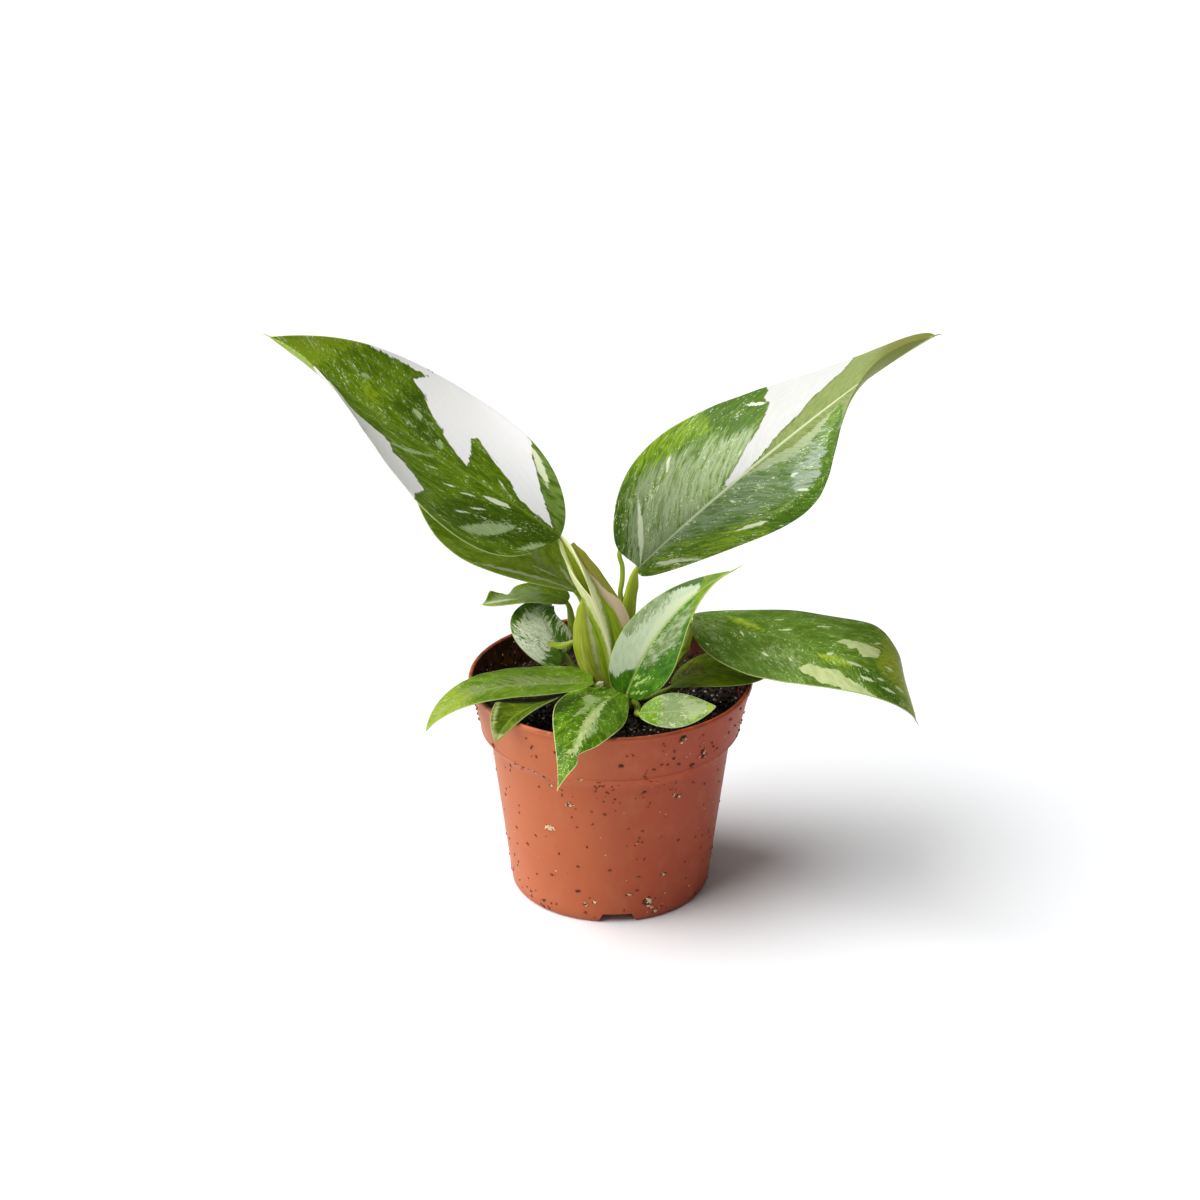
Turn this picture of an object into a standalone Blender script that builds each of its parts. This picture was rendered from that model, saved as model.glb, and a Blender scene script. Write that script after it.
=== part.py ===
"""Potted philodendron: a young variegated plant in a 110 mm terracotta-coloured nursery pot.

Run with: blender --background --python part.py
Metres, +Z up. The origin is on the pot's axis, on the ground. +X is to the plant's right, seen
from its front, and +Y is away from the front.
"""

import math

import bmesh
import bpy
from mathutils import Vector

MM = 0.001

# ---------------------------------------------------------------- driving dimensions, in millimetres
FIT_GAP = 0.3  # clearance between neighbouring pieces

RIM_RADIUS = 55.0
POT_HEIGHT = 88.0
WALL = 1.3
BAND_BOTTOM = 67.5  # lower edge of the band under the rim
BAND_BOTTOM_RADIUS = 50.4
NECK_HEIGHT = 61.5  # where the band's under-lip has run into the wall
NECK_RADIUS = 46.5
FOOT_RADIUS = 38.8
FLOOR_HEIGHT = 3.2  # underside of the pot's floor, above the ground
FLOOR_THICKNESS = 1.6
FOOT_RING_WIDTH = 2.6
CENTRE_FOOT_RADIUS = 9.0
NOTCH_WIDTH = 13.0
NOTCH_HEIGHT = 2.8
NOTCH_COUNT = 3
NOTCH_DEPTH = 12.0  # through the foot ring and well past it on both sides
NOTCH_TURN = math.radians(-86.3)  # the first notch is almost at the front
DRAIN_HOLE_RADIUS = 4.0
DRAIN_HOLE_RING = 25.0
DRAIN_HOLE_COUNT = 6
RIM_ROUNDING = 1.2
FLOOR_ROUNDING = 2.5  # where the wall runs into the floor, inside

SOIL_TOP = 76.0
CROWN_RADIUS = 9.5
CROWN_TOP = 84.5
CROWN_BOTTOM = 62.0

BLADE_THICKNESS = 0.8
BLADE_ROWS = 20
BLADE_COLUMNS = 4  # on each side of the midrib


def blade(base, length, heading, pitch, roll, left, right):
    """One leaf blade. The three-value settings are given at its base, middle and tip.

    heading turns from +X towards +Y, pitch lifts the tip, and roll lifts the right side.
    left and right are (half width, start, point, fold at base, middle and tip, curl, lobe).
    """
    return dict(base=base, length=length, heading=heading, pitch=pitch, roll=roll, sides=(left, right))


BLADES = {
    "upper_left": blade(
        (-19, 0, 146), 133, (192, 166, 168), (40.5, 31, 35.5), (51, 21, 13),
        left=(34, 0.65, 0.97, (-10, 11, 45), 24, -0.02),
        right=(34, 0.68, 0.95, (0, -10, 45), 28, 0.01),
    ),
    "upper_right": blade(
        (10.5, 2, 132), 151, (26, -16, -30), (38, 44, 36), (-80, -54.5, 15),
        left=(33, 0.37, 0.74, (41, -12, 50), -20.5, 0.05),
        right=(26, 0.85, 1.12, (-12, -12, 50), 2, 0.05),
    ),
    "lower_left": blade(
        (-13, 10, 119), 83, (169, 173, 196), (34, 38, 39), (9, 23, 20),
        left=(25, 0.82, 0.45, (20, 7, 8), -7, 0.03),
        right=(20, 0.65, 0.90, (12, 12, 12), -5, 0.03),
    ),
    "centre": blade(
        (6, -16, 87), 68, (10, -2, -15), (72, 53, 33), (-44, -38, -9),
        left=(12.5, 0.44, 1.03, (13, 16, 12), 1, 0.03),
        right=(16, 0.59, 1.04, (6, 11, 28), 0, 0.03),
    ),
    "right": blade(
        (31.5, 0, 111.5), 98, (2, -22, 0), (-18, -9, -67), (-20, -24, -10),
        left=(25, 0.63, 0.45, (-5, -3, 0), -32, 0.03),
        right=(20, 0.45, 0.93, (4, 0, 6), -7, 0.02),
    ),
    "front": blade(
        (3.5, -20, 90), 69, (236, 254, 239), (4, -1, -59), (7, 5, -9),
        left=(12.5, 0.72, 1.19, (2, -5, 20), -16, 0.03),
        right=(14.5, 0.62, 1.33, (6, 4, 10), -11, 0.03),
    ),
    "left": blade(
        (-6.5, -11.5, 90.2), 71, (189, 198, 194), (-3, 0, -61), (4, 5, 6),
        left=(10, 0.55, 0.91, (16, 6, 13), -6, 0.02),
        right=(15, 0.47, 0.94, (13, -1, 21), -7, 0.03),
    ),
    "left_under": blade(
        (-19.5, -19, 88.5), 39, (225, 232, 234), (-5, 1, -47), (-8, 10, 31),
        left=(5, 0.53, 0.74, (6, 19, 6), 12, 0.03),
        right=(13, 0.40, 0.82, (-12, -2, 10), -12, 0.01),
    ),
    "front_right": blade(
        (11, -30, 86), 29, (-11, -5, -1), (7, 8, 13), (-12, -23, -8),
        left=(8, 0.55, 0.86, (9, 18, 10), -4, 0.03),
        right=(8, 0.56, 0.68, (14, 5, 10), -12, 0.03),
    ),
    "right_under": blade(
        (23.5, -8, 87), 39, (0, 11, 10), (38, 0, -24), (-6, -11, -14),
        left=(11.5, 0.56, 0.50, (10, 7, 10), -15, 0.03),
        right=(11.5, 0.56, 0.69, (20, 6, 7), -9, 0.03),
    ),
    "back_left": blade(
        (-16.5, 20, 110), 35, (177, 186, 186), (32, -4, -18), (17, 8, 9),
        left=(10, 0.34, 0.83, (7, 14, 6), -14, 0.03),
        right=(7, 0.43, 0.94, (11, 9, 12), -9, 0.03),
    ),
    "left_back": blade(
        (-17.5, 6, 94.2), 34, (165, 110, 40), (52, 24, -45), (28, 8, -22),
        left=(12, 0.50, 0.50, (-10, 4, 32), -9, 0.01),
        right=(9, 0.50, 0.60, (5, 8, 15), -5, 0.03),
    ),
}

# Each leaf stalk runs from the crown to its blade: (x, y, z, radius) through its bends.
STALKS = {
    "upper_left": ((-0.6, -4.4, 84.8, 3.6), (-3.2, -4.2, 104.5, 3.4), (-11.3, -2, 127, 2.6), (-16, -0.9, 139, 1.9)),
    "upper_right": ((6, 6, 84.8, 2.3), (5, 9, 98, 2.3), (5.9, 8.6, 110, 2.2), (7.4, 5.6, 123, 2.0)),
    "lower_left": ((-2.2, 5.8, 84.8, 2.0), (-4.2, 6, 95, 1.9), (-8.2, 8.2, 108, 1.7)),
    "centre": ((5.6, -8.4, 80.2, 1.7), (6.6, -14.5, 82.6, 1.5)),
    "right": ((9.8, 1.8, 80.6, 2.2), (20, 5, 84.5, 2.1), (27.6, 6, 94, 1.9), (30.6, 3, 104, 1.6)),
    "front": ((1.2, -9.9, 81.2, 1.7), (1.2, -15, 85.2, 1.5)),
    "left": ((-6.4, -8, 80.6, 1.9), (-5.4, -11.6, 86, 1.5)),
    "left_under": ((-8.8, -4.8, 79.2, 1.5), (-14.6, -12, 82.8, 1.4)),
    "front_right": ((8.3, -5.6, 78.6, 1.5), (10.5, -16, 79.6, 1.4), (10, -25, 83.4, 1.2)),
    "right_under": ((9.8, -2.6, 80.5, 1.6), (16, -5.6, 81.5, 1.5)),
    "back_left": ((-6.8, 0.8, 84.8, 2.0), (-9.6, 6, 92, 1.9), (-14.6, 15, 101, 1.7)),
    "left_back": ((-9.4, 3.4, 80.4, 1.8), (-14.6, 7, 87, 1.6)),
}
STALK_TIP_RADIUS = 1.1

# The sheaths that wrapped older leaves still stand in the crown.
SHEATHS = {
    "sheath_pink": ((5, 0.4, 84.8, 2.7), (4.2, 2.2, 100, 3.0), (-2.6, 3.6, 122, 2.8), (-13.6, 3.6, 143, 1.0)),
    "sheath_thin": ((1.4, 8.4, 84.8, 0.9), (1.8, 10, 101, 0.9), (2.4, 9.4, 118, 0.9), (3.6, 7.6, 134, 0.9), (3.4, 6, 145, 0.6)),
    "sheath_olive": ((-6.3, -4.3, 84.8, 1.5), (-7.2, -3.8, 92, 1.6), (-8.2, -4.4, 101.5, 0.7)),
}


# ---------------------------------------------------------------- scene and materials
for old in list(bpy.data.objects):
    bpy.data.objects.remove(old, do_unlink=True)

plant = bpy.data.collections.new("potted_philodendron")
bpy.context.scene.collection.children.link(plant)
cutters = bpy.data.collections.new("cutters")
cutters.hide_render = True
bpy.context.scene.collection.children.link(cutters)


def material(name, colour, roughness):
    made = bpy.data.materials.new(name)
    made.use_nodes = True
    shader = made.node_tree.nodes["Principled BSDF"]
    shader.inputs["Base Color"].default_value = (*colour, 1.0)
    shader.inputs["Roughness"].default_value = roughness
    shader.inputs["Metallic"].default_value = 0.0
    made.diffuse_color = (*colour, 1.0)
    return made


TERRACOTTA = material("terracotta_plastic", (0.50, 0.17, 0.09), 0.55)
POTTING_MIX = material("potting_mix", (0.03, 0.02, 0.013), 0.95)
LEAF = material("leaf_green", (0.10, 0.22, 0.03), 0.35)
LEAF_PALE = material("leaf_silver", (0.32, 0.42, 0.20), 0.4)
STALK_GREEN = material("stalk_green", (0.28, 0.38, 0.08), 0.45)
SHEATH_CREAM = material("sheath_cream", (0.58, 0.50, 0.33), 0.5)


def add_object(name, data, home, finish=None):
    made = bpy.data.objects.new(name, data)
    home.objects.link(made)
    if finish:
        data.materials.append(finish)
    if home is cutters:
        made.hide_render = True
        made.display_type = "WIRE"
    return made


# ---------------------------------------------------------------- turned pieces
def turned(name, outline, finish, steps=72):
    """A piece turned about the Z axis from (radius, height) points, down its outside from the axis."""
    mesh = bpy.data.meshes.new(name)
    points = [Vector((radius * MM, 0, height * MM)) for radius, height in outline]
    closed = outline[0][0] > 0
    count = len(points)
    edges = [(i, (i + 1) % count) for i in range(count if closed else count - 1)]
    mesh.from_pydata(points, edges, [])
    made = add_object(name, mesh, plant, finish)
    screw = made.modifiers.new("turn", "SCREW")
    screw.axis = "Z"
    screw.angle = 2 * math.pi
    screw.steps = steps
    screw.render_steps = steps
    screw.use_merge_vertices = True
    screw.merge_threshold = 0.00001
    screw.use_smooth_shade = True
    return made


def wall_radius(height):
    """The pot's outer radius at a height."""
    if height >= BAND_BOTTOM:
        share = (height - BAND_BOTTOM) / (POT_HEIGHT - BAND_BOTTOM)
        return BAND_BOTTOM_RADIUS + share * (RIM_RADIUS - BAND_BOTTOM_RADIUS)
    if height >= NECK_HEIGHT:
        share = (height - NECK_HEIGHT) / (BAND_BOTTOM - NECK_HEIGHT)
        return NECK_RADIUS + (BAND_BOTTOM_RADIUS - NECK_RADIUS) * share**2
    return FOOT_RADIUS + (NECK_RADIUS - FOOT_RADIUS) * height / NECK_HEIGHT


def inner_radius(height):
    return wall_radius(height) - WALL


floor_top = FLOOR_HEIGHT + FLOOR_THICKNESS
ring_inner = FOOT_RADIUS - FOOT_RING_WIDTH
pot_outline = [(0, floor_top), (FOOT_RADIUS - WALL - FLOOR_ROUNDING, floor_top)]
for height in (floor_top + 1.8, NECK_HEIGHT + 0.5, 64, 66, BAND_BOTTOM + 1, POT_HEIGHT - RIM_ROUNDING):
    pot_outline.append((inner_radius(height), height))
pot_outline += [(RIM_RADIUS - WALL - 0.3, POT_HEIGHT), (RIM_RADIUS - 0.6, POT_HEIGHT)]
for height in (POT_HEIGHT - RIM_ROUNDING, BAND_BOTTOM + 0.7, BAND_BOTTOM - 0.3, 65.5, 63.5, NECK_HEIGHT, 2.0):
    pot_outline.append((wall_radius(height), height))
pot_outline += [
    (FOOT_RADIUS - 0.5, 0.5),
    (FOOT_RADIUS - 1.3, 0),
    (ring_inner, 0),
    (ring_inner - 0.4, FLOOR_HEIGHT),
    (CENTRE_FOOT_RADIUS + 0.6, FLOOR_HEIGHT),
    (CENTRE_FOOT_RADIUS, 0),
    (0, 0),
]
pot = turned("pot", pot_outline, TERRACOTTA)


def cut(target, cutter):
    boolean = target.modifiers.new(cutter.name, "BOOLEAN")
    boolean.operation = "DIFFERENCE"
    boolean.solver = "EXACT"
    boolean.object = cutter


# Drain notches through the foot ring, and drain holes through the floor.
for i in range(NOTCH_COUNT):
    turn = NOTCH_TURN + 2 * math.pi * i / NOTCH_COUNT
    box = bpy.data.meshes.new("notch")
    shape = bmesh.new()
    bmesh.ops.create_cube(shape, size=1)
    bmesh.ops.scale(shape, verts=shape.verts, vec=(NOTCH_DEPTH * MM, NOTCH_WIDTH * MM, 2 * NOTCH_HEIGHT * MM))
    bmesh.ops.translate(shape, verts=shape.verts, vec=((FOOT_RADIUS - 1) * MM, 0, 0))
    shape.to_mesh(box)
    shape.free()
    notch = add_object(f"notch_{i}", box, cutters)
    notch.rotation_euler.z = turn
    cut(pot, notch)

for i in range(DRAIN_HOLE_COUNT):
    turn = NOTCH_TURN + 2 * math.pi * (i + 0.5) / DRAIN_HOLE_COUNT
    drill = bpy.data.meshes.new("drain")
    shape = bmesh.new()
    bmesh.ops.create_cone(
        shape, cap_ends=True, segments=20, radius1=DRAIN_HOLE_RADIUS * MM,
        radius2=DRAIN_HOLE_RADIUS * MM, depth=4 * FLOOR_THICKNESS * MM,
    )
    shape.to_mesh(drill)
    shape.free()
    hole = add_object(f"drain_{i}", drill, cutters)
    hole.location = (
        DRAIN_HOLE_RING * MM * math.cos(turn), DRAIN_HOLE_RING * MM * math.sin(turn), FLOOR_HEIGHT * MM,
    )
    cut(pot, hole)


# The potting mix fills the pot and has a socket for the buried end of the crown.
def soil_radius(height):
    return inner_radius(height) - FIT_GAP


soil_floor = floor_top + FIT_GAP
socket = CROWN_RADIUS + FIT_GAP
soil_outline = [
    (0, CROWN_BOTTOM - FIT_GAP),
    (socket - 2.5, CROWN_BOTTOM - FIT_GAP),
    (socket, CROWN_BOTTOM + 3),
    (socket, SOIL_TOP + 0.8),
    (socket + 8, SOIL_TOP + 0.4),
    (38, SOIL_TOP - 0.3),
    (soil_radius(SOIL_TOP - 1), SOIL_TOP - 1),
]
for height in (BAND_BOTTOM + 1, 66, 64, NECK_HEIGHT + 0.5, floor_top + 2.2):
    soil_outline.append((soil_radius(height), height))
soil_outline += [(FOOT_RADIUS - WALL - FLOOR_ROUNDING - 0.7, soil_floor), (0, soil_floor)]
turned("soil", soil_outline, POTTING_MIX, steps=48)

crown_outline = [
    (0, CROWN_TOP),
    (CROWN_RADIUS - 0.8, CROWN_TOP),
    (CROWN_RADIUS, CROWN_TOP - 0.9),
    (CROWN_RADIUS, CROWN_BOTTOM + 3),
    (CROWN_RADIUS - 2.5, CROWN_BOTTOM),
    (0, CROWN_BOTTOM),
]
turned("crown", crown_outline, STALK_GREEN, steps=32)


# ---------------------------------------------------------------- leaf blades
def between(values, t):
    """A smooth run through the values given for base, middle and tip."""
    first, middle, last = values
    return first * (1 - t) * (1 - 2 * t) + 4 * middle * t * (1 - t) + last * t * (2 * t - 1)


def direction(leaf, t):
    heading = math.radians(between(leaf["heading"], t))
    pitch = math.radians(between(leaf["pitch"], t))
    level = math.cos(pitch)
    return Vector((level * math.cos(heading), level * math.sin(heading), math.sin(pitch)))


def midrib(leaf, count):
    """Points along the midrib from base to tip, in millimetres."""
    points = [Vector(leaf["base"])]
    step = 1 / count
    for i in range(count):
        ahead = direction(leaf, i * step) + direction(leaf, (i + 1) * step)
        points.append(points[-1] + ahead * (0.5 * leaf["length"] * step))
    return points


def half_width(side, t):
    width, start, point = side[:3]
    widest = start / (start + point)
    full = widest**start * (1 - widest) ** point
    return width * t**start * (1 - t) ** point / full


def blade_row(leaf, centre, t):
    """The points of one crosswise row, from the left margin to the right one."""
    ahead = direction(leaf, t)
    heading = math.radians(between(leaf["heading"], t))
    across = Vector((math.sin(heading), -math.cos(heading), 0))
    above = across.cross(ahead)
    roll = math.radians(between(leaf["roll"], t))
    right = across * math.cos(roll) + above * math.sin(roll)
    up = above * math.cos(roll) - across * math.sin(roll)
    row = []
    for i in range(-BLADE_COLUMNS, BLADE_COLUMNS + 1):
        side = leaf["sides"][0 if i < 0 else 1]
        reach = abs(i) / BLADE_COLUMNS
        fold = math.radians(between(side[3], t))
        curl = math.radians(side[4] or 0.01)
        out = (math.sin(fold + curl * reach) - math.sin(fold)) / curl
        lift = (math.cos(fold) - math.cos(fold + curl * reach)) / curl
        width = max(half_width(side, t), 0.9 * (1 - t) + 0.25)
        back = side[5] * leaf["length"] * min(1, t / 0.04) * (1 - t) ** 5 * reach**1.5
        outward = right if i > 0 else -right
        row.append(centre + (outward * out + up * lift) * width - ahead * back)
    return row


def make_blade(name, leaf, finish):
    """A closed shell: the upper surface, and the lower one a blade's thickness below it."""
    centres = midrib(leaf, BLADE_ROWS)
    rows = [blade_row(leaf, centre, i / BLADE_ROWS) for i, centre in enumerate(centres)]
    width = len(rows[0])
    shape = bmesh.new()
    top = [[shape.verts.new(point * MM) for point in row] for row in rows]
    for i in range(BLADE_ROWS):
        for j in range(width - 1):
            shape.faces.new((top[i][j], top[i][j + 1], top[i + 1][j + 1], top[i + 1][j]))
    bmesh.ops.recalc_face_normals(shape, faces=shape.faces)
    mesh = bpy.data.meshes.new(name)
    shape.to_mesh(mesh)
    shape.free()
    mesh.shade_smooth()
    made = add_object(name, mesh, plant, finish)
    shell = made.modifiers.new("thickness", "SOLIDIFY")
    shell.thickness = BLADE_THICKNESS * MM
    shell.offset = 0
    shell.use_even_offset = False
    return made


for key, leaf in BLADES.items():
    pale = key in ("left_back", "front_right", "centre")
    make_blade(f"leaf_{key}", leaf, LEAF_PALE if pale else LEAF)


# ---------------------------------------------------------------- stalks and sheaths
def tube(name, bends, finish, leaving, arriving):
    """A round tapering stalk through (x, y, z, radius) bends, closed at both ends.

    leaving and arriving are its directions at its two ends.
    """
    curve = bpy.data.curves.new(name, "CURVE")
    curve.dimensions = "3D"
    curve.bevel_depth = 1.0
    curve.bevel_resolution = 2
    curve.resolution_u = 5
    curve.use_fill_caps = True
    spline = curve.splines.new("BEZIER")
    spline.bezier_points.add(len(bends) - 1)
    places = [Vector(bend[:3]) * MM for bend in bends]
    for point, place, bend in zip(spline.bezier_points, places, bends):
        point.co = place
        point.radius = bend[3] * MM
        point.handle_left_type = "AUTO"
        point.handle_right_type = "AUTO"
    for point, other, way in (
        (spline.bezier_points[0], places[1], leaving),
        (spline.bezier_points[-1], places[-2], -arriving),
    ):
        reach = (other - point.co).length / 3
        point.handle_left_type = "FREE"
        point.handle_right_type = "FREE"
        inward = point.co + way * reach
        outward = point.co - way * reach
        first = point == spline.bezier_points[0]
        point.handle_right = inward if first else outward
        point.handle_left = outward if first else inward
    return add_object(name, curve, plant, finish)


def leaving_crown(start):
    """Straight up from the crown's top, or straight out from its side."""
    x, y, z = start[:3]
    return Vector((0, 0, 1)) if z > CROWN_TOP else Vector((x, y, 0)).normalized()


for key, bends in STALKS.items():
    leaf = BLADES[key]
    ahead = direction(leaf, 0)
    end = Vector(leaf["base"]) - ahead * (FIT_GAP + 0.1)
    tube(f"stalk_{key}", (*bends, (*end, STALK_TIP_RADIUS)), STALK_GREEN, leaving_crown(bends[0]), ahead)

for key, bends in SHEATHS.items():
    last = (Vector(bends[-1][:3]) - Vector(bends[-2][:3])).normalized()
    tube(key, bends, SHEATH_CREAM, leaving_crown(bends[0]), last)
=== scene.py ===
"""Looks of the potted philodendron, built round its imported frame.

A young variegated philodendron in a 110 mm nursery pot. The origin is on the pot's axis, on the
ground. +X is to the plant's right, seen from its front, and +Y is away from the front. Sizes are
in millimetres, and meshes are written in metres.
"""

import math

import bmesh
import bpy
import numpy as np
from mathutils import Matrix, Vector, noise


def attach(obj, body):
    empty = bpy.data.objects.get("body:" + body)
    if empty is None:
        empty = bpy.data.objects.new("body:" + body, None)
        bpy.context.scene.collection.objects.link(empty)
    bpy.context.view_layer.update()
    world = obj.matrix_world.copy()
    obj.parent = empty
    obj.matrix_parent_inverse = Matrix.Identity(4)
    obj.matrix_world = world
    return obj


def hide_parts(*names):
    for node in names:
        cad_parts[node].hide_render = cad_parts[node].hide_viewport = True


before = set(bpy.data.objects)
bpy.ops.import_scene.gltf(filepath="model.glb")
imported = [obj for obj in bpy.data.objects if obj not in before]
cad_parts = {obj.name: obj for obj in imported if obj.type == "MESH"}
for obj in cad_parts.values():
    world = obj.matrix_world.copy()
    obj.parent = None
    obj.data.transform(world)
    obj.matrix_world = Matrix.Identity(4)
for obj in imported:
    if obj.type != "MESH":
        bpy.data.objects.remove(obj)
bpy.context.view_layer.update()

MM = 0.001


def metres(*sizes):
    """Sizes in millimetres as metres."""
    return [size * MM for size in sizes]


def in_scene(name, data):
    """A new object in the scene that holds a mesh, a camera or a light."""
    made = bpy.data.objects.new(name, data)
    bpy.context.scene.collection.objects.link(made)
    return made


# ---------------------------------------------------------------- sizes shared with the CAD part
RIM_RADIUS = 55.0
POT_HEIGHT = 88.0
WALL = 1.3
BAND_BOTTOM = 67.5
BAND_BOTTOM_RADIUS = 50.4
NECK_HEIGHT = 61.5
NECK_RADIUS = 46.5
FOOT_RADIUS = 38.8
FLOOR_HEIGHT = 3.2
FLOOR_THICKNESS = 1.6
FOOT_RING_WIDTH = 2.6
CENTRE_FOOT_RADIUS = 9.0
NOTCH_WIDTH = 13.0
NOTCH_HEIGHT = 2.8
NOTCH_COUNT = 3
NOTCH_DEPTH = 12.0
NOTCH_TURN = math.radians(-86.3)
DRAIN_HOLE_RADIUS = 4.0
DRAIN_HOLE_RING = 25.0
DRAIN_HOLE_COUNT = 6
FLOOR_TOP = FLOOR_HEIGHT + FLOOR_THICKNESS
SOIL_TOP = 76.0
CROWN_RADIUS = 9.5
CROWN_TOP = 84.5
CROWN_BOTTOM = 62.0


def blade(base, length, heading, pitch, roll, left, right):
    """One leaf blade. The three-value settings are given at its base, middle and tip.

    heading turns from +X towards +Y, pitch lifts the tip, and roll lifts the right side.
    left and right are (half width, start, point, fold at base, middle and tip, curl, lobe).
    """
    return dict(base=base, length=length, heading=heading, pitch=pitch, roll=roll, sides=(left, right))


BLADES = {
    "upper_left": blade(
        (-19, 0, 146), 133, (192, 166, 168), (40.5, 31, 35.5), (51, 21, 13),
        left=(34, 0.65, 0.97, (-10, 11, 45), 24, -0.02),
        right=(34, 0.68, 0.95, (0, -10, 45), 28, 0.01),
    ),
    "upper_right": blade(
        (10.5, 2, 132), 151, (26, -16, -30), (38, 44, 36), (-80, -54.5, 15),
        left=(33, 0.37, 0.74, (41, -12, 50), -20.5, 0.05),
        right=(26, 0.85, 1.12, (-12, -12, 50), 2, 0.05),
    ),
    "lower_left": blade(
        (-13, 10, 119), 83, (169, 173, 196), (34, 38, 39), (9, 23, 20),
        left=(25, 0.82, 0.45, (20, 7, 8), -7, 0.03),
        right=(20, 0.65, 0.90, (12, 12, 12), -5, 0.03),
    ),
    "centre": blade(
        (6, -16, 87), 68, (10, -2, -15), (72, 53, 33), (-44, -38, -9),
        left=(12.5, 0.44, 1.03, (13, 16, 12), 1, 0.03),
        right=(16, 0.59, 1.04, (6, 11, 28), 0, 0.03),
    ),
    "right": blade(
        (31.5, 0, 111.5), 98, (2, -22, 0), (-18, -9, -67), (-20, -24, -10),
        left=(25, 0.63, 0.45, (-5, -3, 0), -32, 0.03),
        right=(20, 0.45, 0.93, (4, 0, 6), -7, 0.02),
    ),
    "front": blade(
        (3.5, -20, 90), 69, (236, 254, 239), (4, -1, -59), (7, 5, -9),
        left=(12.5, 0.72, 1.19, (2, -5, 20), -16, 0.03),
        right=(14.5, 0.62, 1.33, (6, 4, 10), -11, 0.03),
    ),
    "left": blade(
        (-6.5, -11.5, 90.2), 71, (189, 198, 194), (-3, 0, -61), (4, 5, 6),
        left=(10, 0.55, 0.91, (16, 6, 13), -6, 0.02),
        right=(15, 0.47, 0.94, (13, -1, 21), -7, 0.03),
    ),
    "left_under": blade(
        (-19.5, -19, 88.5), 39, (225, 232, 234), (-5, 1, -47), (-8, 10, 31),
        left=(5, 0.53, 0.74, (6, 19, 6), 12, 0.03),
        right=(13, 0.40, 0.82, (-12, -2, 10), -12, 0.01),
    ),
    "front_right": blade(
        (11, -30, 86), 29, (-11, -5, -1), (7, 8, 13), (-12, -23, -8),
        left=(8, 0.55, 0.86, (9, 18, 10), -4, 0.03),
        right=(8, 0.56, 0.68, (14, 5, 10), -12, 0.03),
    ),
    "right_under": blade(
        (23.5, -8, 87), 39, (0, 11, 10), (38, 0, -24), (-6, -11, -14),
        left=(11.5, 0.56, 0.50, (10, 7, 10), -15, 0.03),
        right=(11.5, 0.56, 0.69, (20, 6, 7), -9, 0.03),
    ),
    "back_left": blade(
        (-16.5, 20, 110), 35, (177, 186, 186), (32, -4, -18), (17, 8, 9),
        left=(10, 0.34, 0.83, (7, 14, 6), -14, 0.03),
        right=(7, 0.43, 0.94, (11, 9, 12), -9, 0.03),
    ),
    "left_back": blade(
        (-17.5, 6, 94.2), 34, (165, 110, 40), (52, 24, -45), (28, 8, -22),
        left=(12, 0.50, 0.50, (-10, 4, 32), -9, 0.01),
        right=(9, 0.50, 0.60, (5, 8, 15), -5, 0.03),
    ),
}

# Each leaf stalk runs from the crown to its blade: (x, y, z, radius) through its bends.
STALKS = {
    "upper_left": (
        (-0.6, -4.4, 84.8, 3.6), (-3.2, -4.2, 104.5, 3.4), (-11.3, -2, 127, 2.6), (-16, -0.9, 139, 1.9),
    ),
    "upper_right": ((6, 6, 84.8, 2.3), (5, 9, 98, 2.3), (5.9, 8.6, 110, 2.2), (7.4, 5.6, 123, 2.0)),
    "lower_left": ((-2.2, 5.8, 84.8, 2.0), (-4.2, 6, 95, 1.9), (-8.2, 8.2, 108, 1.7)),
    "centre": ((5.6, -8.4, 80.2, 1.7), (6.6, -14.5, 82.6, 1.5)),
    "right": ((9.8, 1.8, 80.6, 2.2), (20, 5, 84.5, 2.1), (27.6, 6, 94, 1.9), (30.6, 3, 104, 1.6)),
    "front": ((1.2, -9.9, 81.2, 1.7), (1.2, -15, 85.2, 1.5)),
    "left": ((-6.4, -8, 80.6, 1.9), (-5.4, -11.6, 86, 1.5)),
    "left_under": ((-8.8, -4.8, 79.2, 1.5), (-14.6, -12, 82.8, 1.4)),
    "front_right": ((8.3, -5.6, 78.6, 1.5), (10.5, -16, 79.6, 1.4), (10, -25, 83.4, 1.2)),
    "right_under": ((9.8, -2.6, 80.5, 1.6), (16, -5.6, 81.5, 1.5)),
    "back_left": ((-6.8, 0.8, 84.8, 2.0), (-9.6, 6, 92, 1.9), (-14.6, 15, 101, 1.7)),
    "left_back": ((-9.4, 3.4, 80.4, 1.8), (-14.6, 7, 87, 1.6)),
}
STALK_TIP_RADIUS = 1.1


# ---------------------------------------------------------------- camera
CAMERA_PLACE = (-0.0041, -0.976, 0.5581)  # metres
CAMERA_TILT = math.radians(65.8)
LENS = 84.0

camera_data = bpy.data.cameras.new("camera")
camera_data.lens = LENS
camera = in_scene("camera", camera_data)
camera.location = CAMERA_PLACE
camera.rotation_euler = (CAMERA_TILT, 0, 0)
bpy.context.scene.camera = camera


# ---------------------------------------------------------------- materials: helpers
def linear(colour):
    """An sRGB hex colour as linear RGBA."""
    parts = [int(colour[i : i + 2], 16) / 255 for i in (1, 3, 5)]
    return (*[p / 12.92 if p <= 0.04045 else ((p + 0.055) / 1.055) ** 2.4 for p in parts], 1.0)


def add(tree, kind, sockets=None, **settings):
    """Adds a node. settings are its properties, and sockets gives inputs a value or another node's output."""
    node = tree.nodes.new(kind)
    for name, value in settings.items():
        setattr(node, name, value)
    for name, value in (sockets or {}).items():
        if isinstance(value, bpy.types.NodeSocket):
            tree.links.new(value, node.inputs[name])
        else:
            node.inputs[name].default_value = value
    return node


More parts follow.
